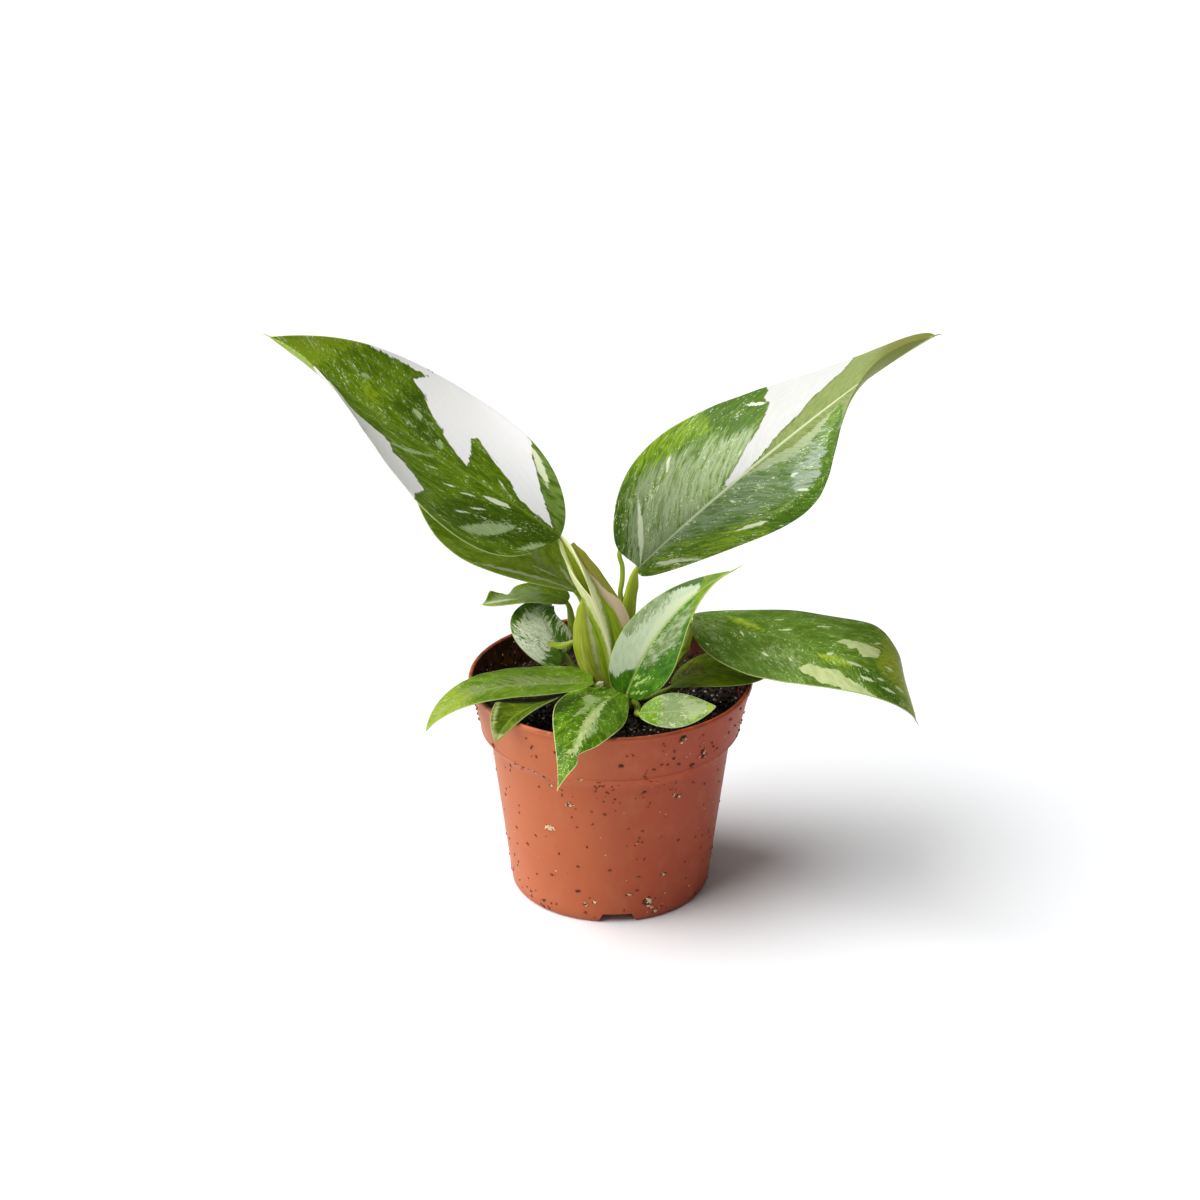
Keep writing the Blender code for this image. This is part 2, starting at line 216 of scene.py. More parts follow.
def start_material(name):
    """An empty material and its node tree."""
    made = bpy.data.materials.new(name)
    made.use_nodes = True
    made.node_tree.nodes.clear()
    return made, made.node_tree


# Inputs and outputs of the Mix node when it mixes colours.
MIX_A, MIX_B, MIXED = 6, 7, 2


def mixed(tree, share, first, second):
    """The colour between two others. Each is a hex colour or another node's output."""
    first = linear(first) if isinstance(first, str) else first
    second = linear(second) if isinstance(second, str) else second
    node = add(tree, "ShaderNodeMix", {0: share, MIX_A: first, MIX_B: second}, data_type="RGBA")
    return node.outputs[MIXED]


def grain(tree, place, size, detail=2.0, shift=0.0, grit=0.5):
    """Noise whose grain measures size = (x, y, z) on the given place, both in the same unit."""
    moved = add(
        tree, "ShaderNodeMapping",
        {"Vector": place, "Scale": [1 / s for s in size], "Location": (shift, shift, shift)},
    )
    cloud = add(tree, "ShaderNodeTexNoise", {
        "Vector": moved.outputs[0], "Scale": 1.0, "Detail": detail, "Roughness": grit,
    })
    return cloud.outputs["Fac"]


def ramped(tree, value, low, high):
    """0 below low and 1 above high, with a smooth rise between."""
    node = add(
        tree, "ShaderNodeMapRange", {"Value": value, "From Min": low, "From Max": high},
        interpolation_type="SMOOTHSTEP",
    )
    return node.outputs[0]


# ---------------------------------------------------------------- meshes: helpers
def mesh_object(name, points, faces, attributes=None):
    """A mesh object at the origin from points in millimetres.

    attributes maps a name to a value for each point.
    """
    mesh = bpy.data.meshes.new(name)
    mesh.from_pydata((np.asarray(points) * MM).tolist(), [], [list(map(int, face)) for face in faces])
    for title, values in (attributes or {}).items():
        values = np.asarray(values, np.float32)
        kind = "FLOAT_VECTOR" if values.ndim == 2 else "FLOAT"
        layer = mesh.attributes.new(title, kind, "POINT")
        layer.data.foreach_set("vector" if kind == "FLOAT_VECTOR" else "value", values.ravel())
    mesh.validate()
    mesh.shade_smooth()
    return in_scene(name, mesh)


def joined(parts):
    """Several (points, faces, attributes) as one."""
    points, faces, attributes, start = [], [], {}, 0
    for part_points, part_faces, part_attributes in parts:
        points.append(part_points)
        faces += [[corner + start for corner in face] for face in part_faces]
        start += len(part_points)
        for title, values in part_attributes.items():
            attributes.setdefault(title, []).append(values)
    return np.concatenate(points), faces, {k: np.concatenate(v) for k, v in attributes.items()}


def finish_piece(piece, material, slot, *nodes):
    """Gives a piece its material and ties it to the frame in place of the CAD nodes that it stands for."""
    piece.data.materials.clear()
    piece.data.materials.append(material)
    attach(piece, "root")
    if nodes:
        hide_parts(*nodes)


def evaluated(piece, name):
    """The piece with its modifiers applied, as a plain mesh object in its place."""
    graph = bpy.context.evaluated_depsgraph_get()
    mesh = bpy.data.meshes.new_from_object(piece.evaluated_get(graph))
    mesh.name = name
    bpy.data.objects.remove(piece, do_unlink=True)
    return in_scene(name, mesh)


def unit(vectors):
    """Vectors scaled to length 1."""
    return vectors / np.maximum(np.linalg.norm(vectors, axis=-1, keepdims=True), 1e-9)


def ring_faces(count, around, flip=False):
    """The numbers of the points of closed rings, ring by ring, and the faces between the rings."""
    index = np.arange(count * around).reshape(count, around)
    side = np.roll(index, -1, 1)
    corners = [index[:-1], side[:-1], side[1:], index[1:]]
    if flip:
        corners = [index[:-1], index[1:], side[1:], side[:-1]]
    return index, np.stack(corners, -1).reshape(-1, 4).tolist()


def ball(subdivisions):
    """A sphere of radius 1 made of near-equal triangles: its points and faces."""
    shape = bmesh.new()
    bmesh.ops.create_icosphere(shape, subdivisions=subdivisions, radius=1.0)
    points = np.array([vertex.co for vertex in shape.verts])
    faces = [[vertex.index for vertex in face.verts] for face in shape.faces]
    shape.free()
    return points, faces


# ---------------------------------------------------------------- variegation: sectors in leaf coordinates
FAR = 60.0  # the most that a place counts as lying away from a sector's edge, in millimetres


def outline(*corners):
    """A sector's outline: (t, u) corners.

    t runs from 0 at the base to 1 at the tip, and u from -1 at the left margin to 1 at the right one.
    """
    return "outline", corners


def dash(start, end, width):
    """A lens-shaped streak between two (t, u) places, width millimetres across its middle."""
    return "dash", (start, end, width)


def distance_to_line(s, w, a, b):
    """Distance from each (s, w) place to the line from a to b, and the share of the way along it."""
    run = (b[0] - a[0], b[1] - a[1])
    share = ((s - a[0]) * run[0] + (w - a[1]) * run[1]) / max(run[0] ** 2 + run[1] ** 2, 1e-9)
    share = np.clip(share, 0, 1)
    return np.hypot(s - a[0] - share * run[0], w - a[1] - share * run[1]), share


def depth_inside(shapes, s, w, to_mm):
    """How deep each (s, w) place lies inside any of the shapes, in millimetres, and below 0 outside them."""
    deepest = np.full(s.shape, -FAR)
    for kind, shape in shapes:
        if kind == "dash":
            start, end, width = shape
            away, share = distance_to_line(s, w, to_mm(*start), to_mm(*end))
            depth = width * (0.5 - 2 * (share - 0.5) ** 2) - away
        else:
            corners = [to_mm(*corner) for corner in shape]
            away = np.full(s.shape, FAR)
            inside = np.zeros(s.shape, bool)
            for a, b in zip(corners, corners[1:] + corners[:1]):
                away = np.minimum(away, distance_to_line(s, w, a, b)[0])
                if a[1] != b[1]:
                    crosses = (a[1] > w) != (b[1] > w)
                    inside ^= crosses & (s < (b[0] - a[0]) * (w - a[1]) / (b[1] - a[1]) + a[0])
            depth = np.where(inside, away, -away)
        deepest = np.maximum(deepest, depth)
    return deepest


def tissue(name, colour, shapes, grain="fingers", jag=2.0, soft=0.3, cap=FAR, second=None, edge=None):
    """A layer of one colour over part of a leaf.

    jag is how far, in millimetres, its edge wanders along the veins, and soft is how wide the edge
    is. A cap lower than half the jag keeps the layer broken up all through. second is a colour that
    streaks it, and edge is the colour of the green along its border.
    """
    return dict(
        name=name, colour=colour, shapes=shapes, grain=grain, jag=jag, soft=soft, cap=cap, second=second,
        edge=edge,
    )


WHOLE = outline((-0.1, -1.5), (1.1, -1.5), (1.1, 1.5), (-0.1, 1.5))
FLECKED = "flecks"  # stands in a leaf's layers where its flecks come

# green is a leaf's dark, middle and light green, fleck its flecks' colour and how rare they are, rib
# its midrib's colour and how strong it is, and rim its margin's colour. rows and columns set how fine
# its mesh is, slant how far its side veins lean forward, and vary the grain of its second colours.
LEAVES = {
    "upper_left": dict(
        rows=280, columns=46, slant=1.7, green=("#4C6808", "#668610", "#7E9C1C"),
        fleck=("#D0DCAC", 0.712), rib=("#7E9630", 0.5), rim="#A9BC74", white_rim=True,
        layers=[
            tissue("lime", "#88AA1C", [
                outline((0.8, -1.3), (0.84, 0.1), (0.78, 1.3), (1.1, 1.3), (1.1, -1.3)),
                outline((0.655, 0.12), (0.70, 0.16), (0.715, 0.34), (0.66, 0.32)),
            ], "speckle", jag=14, soft=8, cap=5, second="#94A422"),
            tissue("deep", "#40580A", [
                outline(
                    (-0.1, -0.95), (0.2, -0.75), (0.36, -0.9), (0.3, -0.3), (0.14, 0.02), (0.05, 0.1),
                    (-0.1, 0.2),
                ),
                outline((0.42, 0.1), (0.5, 0.48), (0.6, 0.78), (0.6, 0.3), (0.5, 0.0)),
            ], "speckle", jag=12, soft=6, cap=5, second="#506E10"),
            FLECKED,
            tissue("sage", "#A8BC88", [
                dash((0.275, -0.83), (0.13, -0.31), 5.0),
                dash((0.56, -0.47), (0.43, -0.07), 2.0),
                dash((0.52, 0.32), (0.56, 0.42), 3.0),
                dash((0.425, 0.1), (0.445, 0.22), 3.0),
                dash((0.74, 0.42), (0.71, 0.48), 1.6),
                dash((0.095, -0.8), (0.02, -0.8), 2.4),
                dash((0.365, 0.3), (0.335, 0.14), 1.4),
            ], "speckle", jag=2.6, soft=0.3, second="#96AC70"),
            tissue("cream", "#DCE3C4", [
                dash((0.258, -0.155), (0.165, -0.07), 1.9),
                dash((0.325, -0.31), (0.27, -0.22), 0.9),
                dash((0.37, -0.34), (0.33, -0.27), 0.8),
                dash((0.28, -0.42), (0.23, -0.32), 0.8),
                dash((0.31, -0.62), (0.27, -0.5), 0.8),
                dash((0.44, -0.3), (0.4, -0.2), 0.7),
                dash((0.24, 0.2), (0.2, 0.12), 0.8),
            ], jag=0.9, soft=0.25),
            tissue("white", "#F2F0EE", [
                outline(
                    (0.8, 1.25), (0.76, 0.97), (0.67, 0.92), (0.583, 0.91), (0.613, 0.78), (0.555, 0.66),
                    (0.515, 0.5), (0.46, 0.38), (0.417, 0.25), (0.38, 0.16), (0.338, 0.11), (0.35, 0.36),
                    (0.37, 0.5), (0.352, 0.55), (0.307, 0.47), (0.263, 0.39), (0.217, 0.32), (0.16, 0.13),
                    (0.03, 0.04), (0.062, 0.32), (0.107, 0.51), (0.147, 0.69), (0.173, 0.81), (0.2, 0.94),
                    (0.233, 1.05), (0.3, 1.25),
                ),
                outline(
                    (0.85, -1.25), (0.79, -0.1), (0.758, -0.3), (0.693, -0.6), (0.633, -0.5),
                    (0.575, -0.4), (0.545, -0.45), (0.525, -0.56), (0.478, -0.55), (0.438, -0.61),
                    (0.4, -0.68), (0.415, -0.9), (0.395, -1.25),
                ),
            ], jag=1.6, soft=0.2, edge="#52681A"),
            tissue("olive", "#7A9440", [
                outline(
                    (0.02, 0.1), (0.062, 0.34), (0.107, 0.53), (0.147, 0.7), (0.2, 0.95), (0.24, 1.3),
                    (-0.1, 1.3), (-0.1, 0.1),
                ),
            ], jag=0.8, soft=0.3, second="#4F6A1C"),
            tissue("lens", "#DDE2C0", [dash((0.2, 0.93), (0.1, 0.72), 2.8)], jag=1.2, soft=0.4),
        ],
    ),
    "upper_right": dict(
        rows=280, columns=46, slant=1.1, vary="streaks", green=("#4A6C1A", "#64862A", "#86A03C"),
        fleck=("#DAE3BC", 0.712), rib=("#CCD4AC", 0.8), rim="#7C8A4C", white_rim=True,
        layers=[
            tissue("silver", "#AEBB8E", [
                outline(
                    (-0.1, -0.75), (0.08, -0.8), (0.2, -0.8), (0.3, -0.6), (0.42, -0.5), (0.45, -0.2),
                    (0.34, 0), (-0.1, 0),
                ),
            ], "drift", jag=14, soft=10.0, cap=2.2, second="#94A87A"),
            tissue("duller_silver", "#8CA07A", [
                outline(
                    (0.0, 0), (0.3, 0), (0.6, 0.1), (0.64, 0.5), (0.52, 0.72), (0.42, 0.7), (0.3, 0.55),
                    (0.1, 0.3),
                ),
            ], "drift", jag=14, soft=10.0, cap=2.6, second="#67804E"),
            tissue("lime", "#8FAE2C", [
                outline((0.0, 0.2), (0.1, 0.3), (0.26, 0.66), (0.34, 0.9), (0.3, 1.3), (-0.1, 1.3)),
                outline((0.16, -0.95), (0.28, -0.75), (0.36, -0.72), (0.36, -1.3), (0.16, -1.3)),
            ], "drift", jag=12, soft=5, cap=4, second="#587818"),
            tissue("deep", "#42621A", [
                outline(
                    (0.32, 0.85), (0.42, 0.8), (0.56, 0.84), (0.64, 0.62), (0.72, 0.5), (0.7, 1.3),
                    (0.3, 1.3),
                ),
                outline((-0.1, -0.7), (0.05, -0.7), (0.1, -0.85), (0.12, -1.3), (-0.1, -1.3)),
                outline(
                    (0.38, -0.5), (0.47, -0.55), (0.5, -0.75), (0.48, -1.3), (0.36, -1.3), (0.36, -0.8),
                ),
            ], "drift", jag=10, soft=3, cap=3, second="#5C7E1E"),
            # A painted reflection: this pale grey-blue patch on the lower right half stands in for the sheen
            # of the bright surroundings.
            tissue("sheen", "#A5B29C", [
                outline((0.48, 0.4), (0.56, 0.42), (0.6, 0.62), (0.54, 0.78), (0.44, 0.68)),
            ], "drift", jag=8, soft=1.6, cap=2.0, second="#8FA082"),
            FLECKED,
            tissue("sage", "#A9B68C", [
                outline(
                    (0.34, 0), (0.4, 0.1), (0.448, 0.2), (0.51, 0.28), (0.573, 0.3), (0.63, 0.26),
                    (0.72, 0.1), (0.6, 0.0), (0.45, -0.04), (0.38, 0),
                ),
            ], jag=2.2, soft=0.4, second="#9AAA78"),
            tissue("olive", "#8C985A", [
                outline(
                    (0.36, 0.02), (0.41, -0.03), (0.45, -0.07), (0.49, -0.15), (0.53, -0.18),
                    (0.565, -0.24), (0.585, -0.33), (0.638, -0.46), (0.688, -0.64), (0.715, -1.3),
                    (1.1, -1.3), (1.1, 1.3), (0.72, 1.3), (0.7, 0.18), (0.625, 0.16), (0.565, 0.16),
                    (0.51, 0.14), (0.448, 0.06),
                ),
            ], jag=1.4, soft=0.4, second="#758344"),
            tissue("tip", "#6F722A", [
                outline((0.82, -1.3), (0.8, 0.0), (0.82, 1.3), (1.1, 1.3), (1.1, -1.3)),
            ], "speckle", jag=10, soft=12, cap=8),
            tissue("cream", "#DFE5C8", [
                dash((0.138, -0.72), (0.01, -0.15), 2.0),
                dash((0.1, -0.55), (0.0, -0.12), 1.0),
                dash((0.435, -0.82), (0.485, -0.7), 1.6),
                dash((0.045, 0.45), (0.15, 0.95), 1.1),
                dash((0.245, 0.7), (0.33, 0.8), 1.7),
                dash((0.453, 0.45), (0.485, 0.5), 0.9),
                dash((0.44, 0.64), (0.49, 0.8), 1.0),
                dash((0.285, 0.2), (0.3, 0.27), 0.9),
                dash((0.26, -0.78), (0.22, -0.6), 0.9),
            ], jag=1.2, soft=0.35),
            tissue("white", "#D0CFCA", [
                outline(
                    (0.5, -1.3), (0.492, -0.9), (0.482, -0.79), (0.492, -0.66), (0.478, -0.55),
                    (0.463, -0.45), (0.45, -0.38), (0.415, -0.28), (0.372, -0.17), (0.335, -0.1),
                    (0.29, -0.03), (0.343, 0.0), (0.41, -0.03), (0.45, -0.07), (0.49, -0.15),
                    (0.53, -0.18), (0.565, -0.24), (0.585, -0.33), (0.638, -0.46), (0.688, -0.64),
                    (0.708, -0.85), (0.72, -1.3),
                ),
            ], jag=1.4, soft=0.2, second="#C9C8C3", edge="#52681E"),
        ],
    ),
    "lower_left": dict(
        rows=150, columns=26, green=("#7C9818", "#9AB432", "#B0C058"),
        fleck=("#BECC98", 0.75), rib=("#93A94C", 0.5), rim="#B4C084",
        layers=[
            tissue("silver", "#9DAE74", [WHOLE], "drift", jag=8, soft=3, cap=-0.6),
            FLECKED,
            tissue("cream", "#CBD4A8", [
                dash((0.02, 0.1), (0.14, 0.35), 1.6),
                dash((0.1, -0.1), (0.24, -0.3), 1.2),
                dash((0.02, 0.5), (0.2, 0.9), 1.8),
                dash((0.0, -0.97), (0.5, -0.98), 1.6),
            ], jag=1.0, soft=0.4),
        ],
    ),
    "centre": dict(
        rows=180, columns=26, green=("#2F5C04", "#427808", "#5E9014"),
        fleck=("#C3D396", 0.76), rib=("#9BB24C", 0.7), rim="#A9BC64",
        layers=[
            FLECKED,
            tissue("silver", "#667A42", [
                outline(
                    (0.2, 0.2), (0.28, 0.42), (0.36, 0.5), (0.5, 0.85), (0.6, 0.75), (0.72, 0.78),
                    (0.72, 0.4), (0.6, 0.12), (0.45, 0.08), (0.27, 0.0),
                ),
            ], "speckle", jag=5, soft=1.0, cap=1.4, second="#98A87E"),
            tissue("cream", "#BCC8A8", [
                outline(
                    (0.16, 0.0), (0.14, -0.3), (0.08, -0.66), (0.12, -1.3), (0.56, -1.3), (0.64, -0.9),
                    (0.78, -0.5), (0.78, -0.05), (0.5, 0.0),
                ),
            ], "speckle", jag=2.0, soft=1.0, second="#B0BE98"),
            tissue("band", "#C4CEA8", [
                outline(
                    (0.2, -0.02), (0.3, -0.22), (0.45, -0.32), (0.6, -0.42), (0.76, -0.3), (0.76, -0.04),
                ),
            ], "streaks", jag=2.0, soft=1.4),
            tissue("dusk", "#7E925C", [
                outline(
                    (0.3, -0.7), (0.45, -0.62), (0.56, -0.6), (0.62, -0.75), (0.66, -1.3), (0.3, -1.3),
                ),
            ], "speckle", jag=6, soft=2.0, cap=1.4, second="#93A57C"),
            tissue("deep", "#3F5E0C", [
                outline(
                    (0.6, -0.86), (0.68, -0.78), (0.8, -0.5), (0.86, -0.7), (0.8, -1.3), (0.58, -1.3),
                ),
            ], "streaks", jag=2.0, soft=0.8),
            tissue("lime", "#5C7A08", [
                outline((0.84, -1.3), (0.74, 0.1), (0.68, 0.75), (0.6, 1.3), (1.1, 1.3), (1.1, -1.3)),
            ], "streaks", jag=3, soft=1.5, second="#7A9214"),
            tissue("fan", "#A9C468", [
                dash((0.07, 0.15), (0.16, 0.5), 0.8),
                dash((0.03, 0.35), (0.11, 0.75), 0.7),
                dash((0.11, 0.1), (0.17, 0.3), 0.6),
                dash((0.13, 0.3), (0.2, 0.62), 0.5),
            ], "speckle", jag=2.4, soft=0.5),
        ],
    ),
    "right": dict(
        rows=220, columns=36, green=("#52701A", "#64842A", "#7C983C"),
        fleck=("#BECF98", 0.715), rib=("#6F8C38", 0.25), rim="#A9BA74",
        layers=[
            tissue("silver", "#8A9A62", [
                outline((0.0, -0.45), (0.12, -0.2), (0.1, 0.5), (-0.1, 0.5), (-0.1, -1.3), (0.1, -1.3)),
                outline((0.35, 0.2), (0.45, 0.3), (0.45, 0.6), (0.3, 0.55)),
            ], "speckle", jag=7, soft=3, cap=-0.5),
            tissue("lime", "#96B42C", [
                dash((0.138, -0.45), (0.27, -0.1), 3.0),
                dash((0.52, 0.2), (0.66, 0.1), 3.0),
            ], "speckle", jag=4, soft=3.5, cap=1.6, second="#A9BC3C"),
            tissue("tip", "#A2AE30", [
                outline(
                    (0.7, -1.3), (0.74, -0.3), (0.84, -0.1), (0.92, 0.3), (0.93, 1.3), (1.1, 1.3),
                    (1.1, -1.3),
                ),
            ], "mottle", jag=14, soft=9, cap=7, second="#86961E"),
            tissue("deep", "#3F6012", [
                outline((0.66, 0.1), (0.72, 0.5), (0.84, 0.8), (0.9, 0.6), (0.86, 0.1), (0.76, -0.1)),
            ], "streaks", jag=5, soft=2.5, second="#54761C"),
            FLECKED,
            tissue("cream", "#C4CE92", [
                outline(
                    (0.555, -0.24), (0.58, -0.38), (0.667, -0.5), (0.725, -0.58), (0.73, -0.36),
                    (0.675, -0.2), (0.64, -0.3), (0.615, -0.2), (0.6, -0.28),
                ),
                outline(
                    (0.468, 0.63), (0.5, 0.45), (0.557, 0.48), (0.623, 0.4), (0.655, 0.55), (0.72, 0.66),
                    (0.8, 0.97), (0.7, 1.3), (0.66, 0.92), (0.568, 0.88), (0.542, 0.76), (0.49, 0.7),
                ),
            ], jag=1.0, soft=0.3, second="#B2BF80"),
            tissue("dashes", "#C6D3A0", [
                dash((0.19, 0.02), (0.216, 0.19), 0.8),
                dash((0.325, -0.17), (0.395, -0.27), 0.9),
                dash((0.297, -0.45), (0.335, -0.53), 0.9),
                dash((0.455, -0.47), (0.515, -0.58), 0.9),
                dash((0.547, 0.1), (0.575, -0.03), 1.5),
                dash((0.07, 0.83), (0.1, 0.71), 1.1),
                dash((0.305, 0.43), (0.335, 0.5), 0.9),
                dash((0.413, 0.41), (0.445, 0.51), 0.8),
                dash((0.625, 0.07), (0.7, -0.01), 1.3),
                dash((0.7, 0.0), (0.73, 0.04), 0.8),
                dash((0.688, -0.61), (0.72, -0.8), 1.0),
                dash((0.76, 0.1), (0.8, -0.02), 1.3),
                dash((0.8, 0.34), (0.86, 0.2), 1.4),
                dash((0.84, -0.1), (0.9, -0.2), 1.2),
                dash((0.76, -0.3), (0.82, -0.4), 1.0),
                dash((0.7, 0.36), (0.77, 0.3), 1.4),
            ], jag=0.8, soft=0.25),
        ],
    ),
    "front": dict(
        rows=160, columns=26, green=("#3C5C08", "#547C0A", "#78A018"),
        fleck=("#C9D98C", 0.715), rib=("#8CA63C", 0.3), rim="#C6CC84",
        layers=[
            tissue("deep", "#2F4808", [
                outline((0.05, 0.6), (0.3, 0.55), (0.46, 0.66), (0.46, 1.3), (-0.1, 1.3)),
            ], "speckle", jag=5, soft=3),
            FLECKED,
            tissue("silver", "#93A66C", [
                outline((0.16, 0.14), (0.2, 0.6), (0.34, 0.3), (0.48, 0.36), (0.42, 0.16), (0.3, 0.12)),
                outline((0.44, -0.3), (0.56, -0.5), (0.68, -0.42), (0.6, -0.2)),
            ], "speckle", jag=3.6, soft=0.7, second="#7C9450"),
            tissue("cream", "#B6C386", [
                outline(
                    (0.1, 0.04), (0.24, 0.0), (0.42, 0.06), (0.56, 0.02), (0.68, 0.0), (0.8, -0.2),
                    (0.77, -0.42), (0.68, -0.3), (0.56, -0.3), (0.44, -0.26), (0.24, -0.16),
                ),
                dash((0.76, 0.3), (0.78, -0.2), 2.0),
            ], "speckle", jag=2.8, soft=0.5, second="#9CAE6C"),
        ],
    ),
    "left": dict(
        rows=160, columns=26, green=("#567410", "#6C8C1C", "#80A034"),
        fleck=("#BCCB8C", 0.73), rib=("#93A94C", 0.5), rim="#A9B86C",
        layers=[
            tissue("silver", "#84945A", [
                outline((0.05, -0.1), (0.5, -0.2), (0.75, -0.3), (0.75, 0.35), (0.4, 0.4), (0.1, 0.3)),
            ], "drift", jag=8, soft=3, cap=0.6),
            tissue("lime", "#869C2A", [
                outline((0.72, -1.3), (0.7, 0.2), (0.75, 1.3), (1.1, 1.3), (1.1, -1.3)),
            ], "speckle", jag=8, soft=6, cap=5, second="#98A63C"),
            FLECKED,
        ],
    ),
    "left_under": dict(
        rows=100, columns=20, green=("#465A0A", "#5C7410", "#78901E"),
        fleck=("#94A654", 0.77), rib=("#84983A", 0.5), rim="#9CA860",
        layers=[
            tissue("cream", "#A9B672", [
                outline((0.9, -1.3), (0.93, 0.3), (0.9, 1.3), (1.1, 1.3), (1.1, -1.3)),
                dash((0.5, 0.97), (0.95, 0.9), 1.4),
            ], "streaks", jag=2, soft=1.5),
            FLECKED,
        ],
    ),
    "front_right": dict(
        rows=100, columns=20, green=("#5C8010", "#76A01C", "#8CB034"),
        fleck=("#DCE5BE", 0.7), rib=("#A3B474", 0.35), rim="#C3CE94",
        layers=[
            tissue("silver", "#879A60", [
                outline((0.26, -1.3), (0.3, 0), (0.26, 1.3), (1.1, 1.3), (1.1, -1.3)),
            ], "speckle", jag=6.0, soft=1.2, cap=3.4, second="#7C9254"),
            FLECKED,
            tissue("cream", "#A6B47C", [
                outline((0.5, -0.9), (0.6, 0.1), (0.66, 0.8), (0.9, 0.5), (0.95, -0.9)),
            ], "speckle", jag=6.0, soft=1.6, cap=1.4),
            tissue("lime", "#9CB43C", [
                outline((0.9, -1.3), (0.88, 0.1), (0.9, 1.3), (1.1, 1.3), (1.1, -1.3)),
            ], "speckle", jag=2.0, soft=1.6),
        ],
    ),
    "right_under": dict(
        rows=100, columns=20, green=("#586C08", "#6E8410", "#88981E"),
        fleck=("#8C9C4C", 0.79), rib=("#748A2C", 0.5), rim="#8C9C54",
        layers=[
            tissue("bruise", "#54501E", [
                outline((0.1, -0.6), (0.3, -0.8), (0.38, 0), (0.26, 0.2), (0.12, 0)),
            ], "speckle", jag=4, soft=1.2, cap=0.5),
            FLECKED,
        ],
    ),
    "back_left": dict(
        rows=100, columns=20, green=("#607A0C", "#7A9620", "#94A846"),
        fleck=("#AFBE80", 0.75), rib=("#94A85C", 0.5), rim="#A9B872",
        layers=[
            tissue("silver", "#8F9F6C", [
                outline((0.3, -1.3), (0.35, 0.5), (1.1, 0.5), (1.1, -1.3)),
            ], "drift", jag=6, soft=2.0, cap=1.0, second="#7C8E54"),
            FLECKED,
            tissue("cream", "#C3CCA0", [dash((0.6, -0.6), (1.0, 0.0), 1.6)], jag=1.0, soft=0.8),
        ],
    ),
    "left_back": dict(
        rows=110, columns=24, green=("#4C700C", "#649024", "#8CB048"),
        fleck=("#5E7C40", 0.68), rib=("#9DB07C", 0.4), rim="#A9B87C",
        layers=[
            tissue("silver", "#EEF2DE", [
                outline(
                    (0.2, -0.1), (0.14, -0.5), (0.12, -1.3), (0.42, -1.3), (0.5, -0.7), (0.6, -0.34),
                    (0.68, -0.12), (0.7, 0.05), (0.45, 0.16), (0.25, 0.12),
                ),
                outline((0.14, 0.52), (0.3, 0.5), (0.5, 0.55), (0.5, 0.9), (0.3, 0.95), (0.14, 0.9)),
                dash((0.05, -0.05), (0.13, 0.35), 2.2),
            ], "fingers", jag=6, soft=1.6, cap=2.2, second="#CBD8AC"),
            FLECKED,
        ],
    ),
}


# ---------------------------------------------------------------- leaf blades
BLADE_THICKNESS = 0.5  # a fresh philodendron blade
MIDRIB_GROOVE = 0.28  # its depth on the upper face of a leaf of full size
MIDRIB_RIDGE = 1.1  # its height on the underside
FULL_SIZE = 90  # the length from which a leaf's midrib is as strong as it gets
QUILTING = 0.045  # how far the blade sinks over a side vein
MARGIN_WAVE = 0.16  # how far the margin rises and falls
VEIN_SPACING = 3.1  # between neighbouring side veins
VEIN_SLANT = 0.9  # how far forward a side vein runs for each millimetre from the midrib
VEIN_BEND = 0.012  # how fast a side vein turns forward on its way to the margin
ROW_CROWDING = 0.45  # rows lie closer together near the base and the tip
MARGIN_COLUMNS = (0.975, 0.99, 0.997, 1.0)  # the last columns, close together round the margin
OTHER_SIDE = 70.0  # sets the noise of one half of a leaf apart from the other's


def between(values, t):
    """A smooth run through the values given for base, middle and tip."""
    first, middle, last = values
    return first * (1 - t) * (1 - 2 * t) + 4 * middle * t * (1 - t) + last * t * (2 * t - 1)


def blade_ways(leaf, t):
    """The directions ahead, to the right and up at each t."""
    heading = np.radians(between(leaf["heading"], t))
    pitch = np.radians(between(leaf["pitch"], t))
    roll = np.radians(between(leaf["roll"], t))[:, None]
    ahead = np.stack([np.cos(pitch) * np.cos(heading), np.cos(pitch) * np.sin(heading), np.sin(pitch)], 1)
    across = np.stack([np.sin(heading), -np.cos(heading), np.zeros_like(t)], 1)
    above = np.cross(across, ahead)
    right = across * np.cos(roll) + above * np.sin(roll)
    return ahead, right, above * np.cos(roll) - across * np.sin(roll)


def half_width(side, t):
    """The distance from the midrib to one margin at each t."""
    width, start, point = side[:3]
    widest = start / (start + point)
    full = widest**start * (1 - widest) ** point
    return np.maximum(width * t**start * (1 - t) ** point / full, 0.9 * (1 - t) + 0.25)


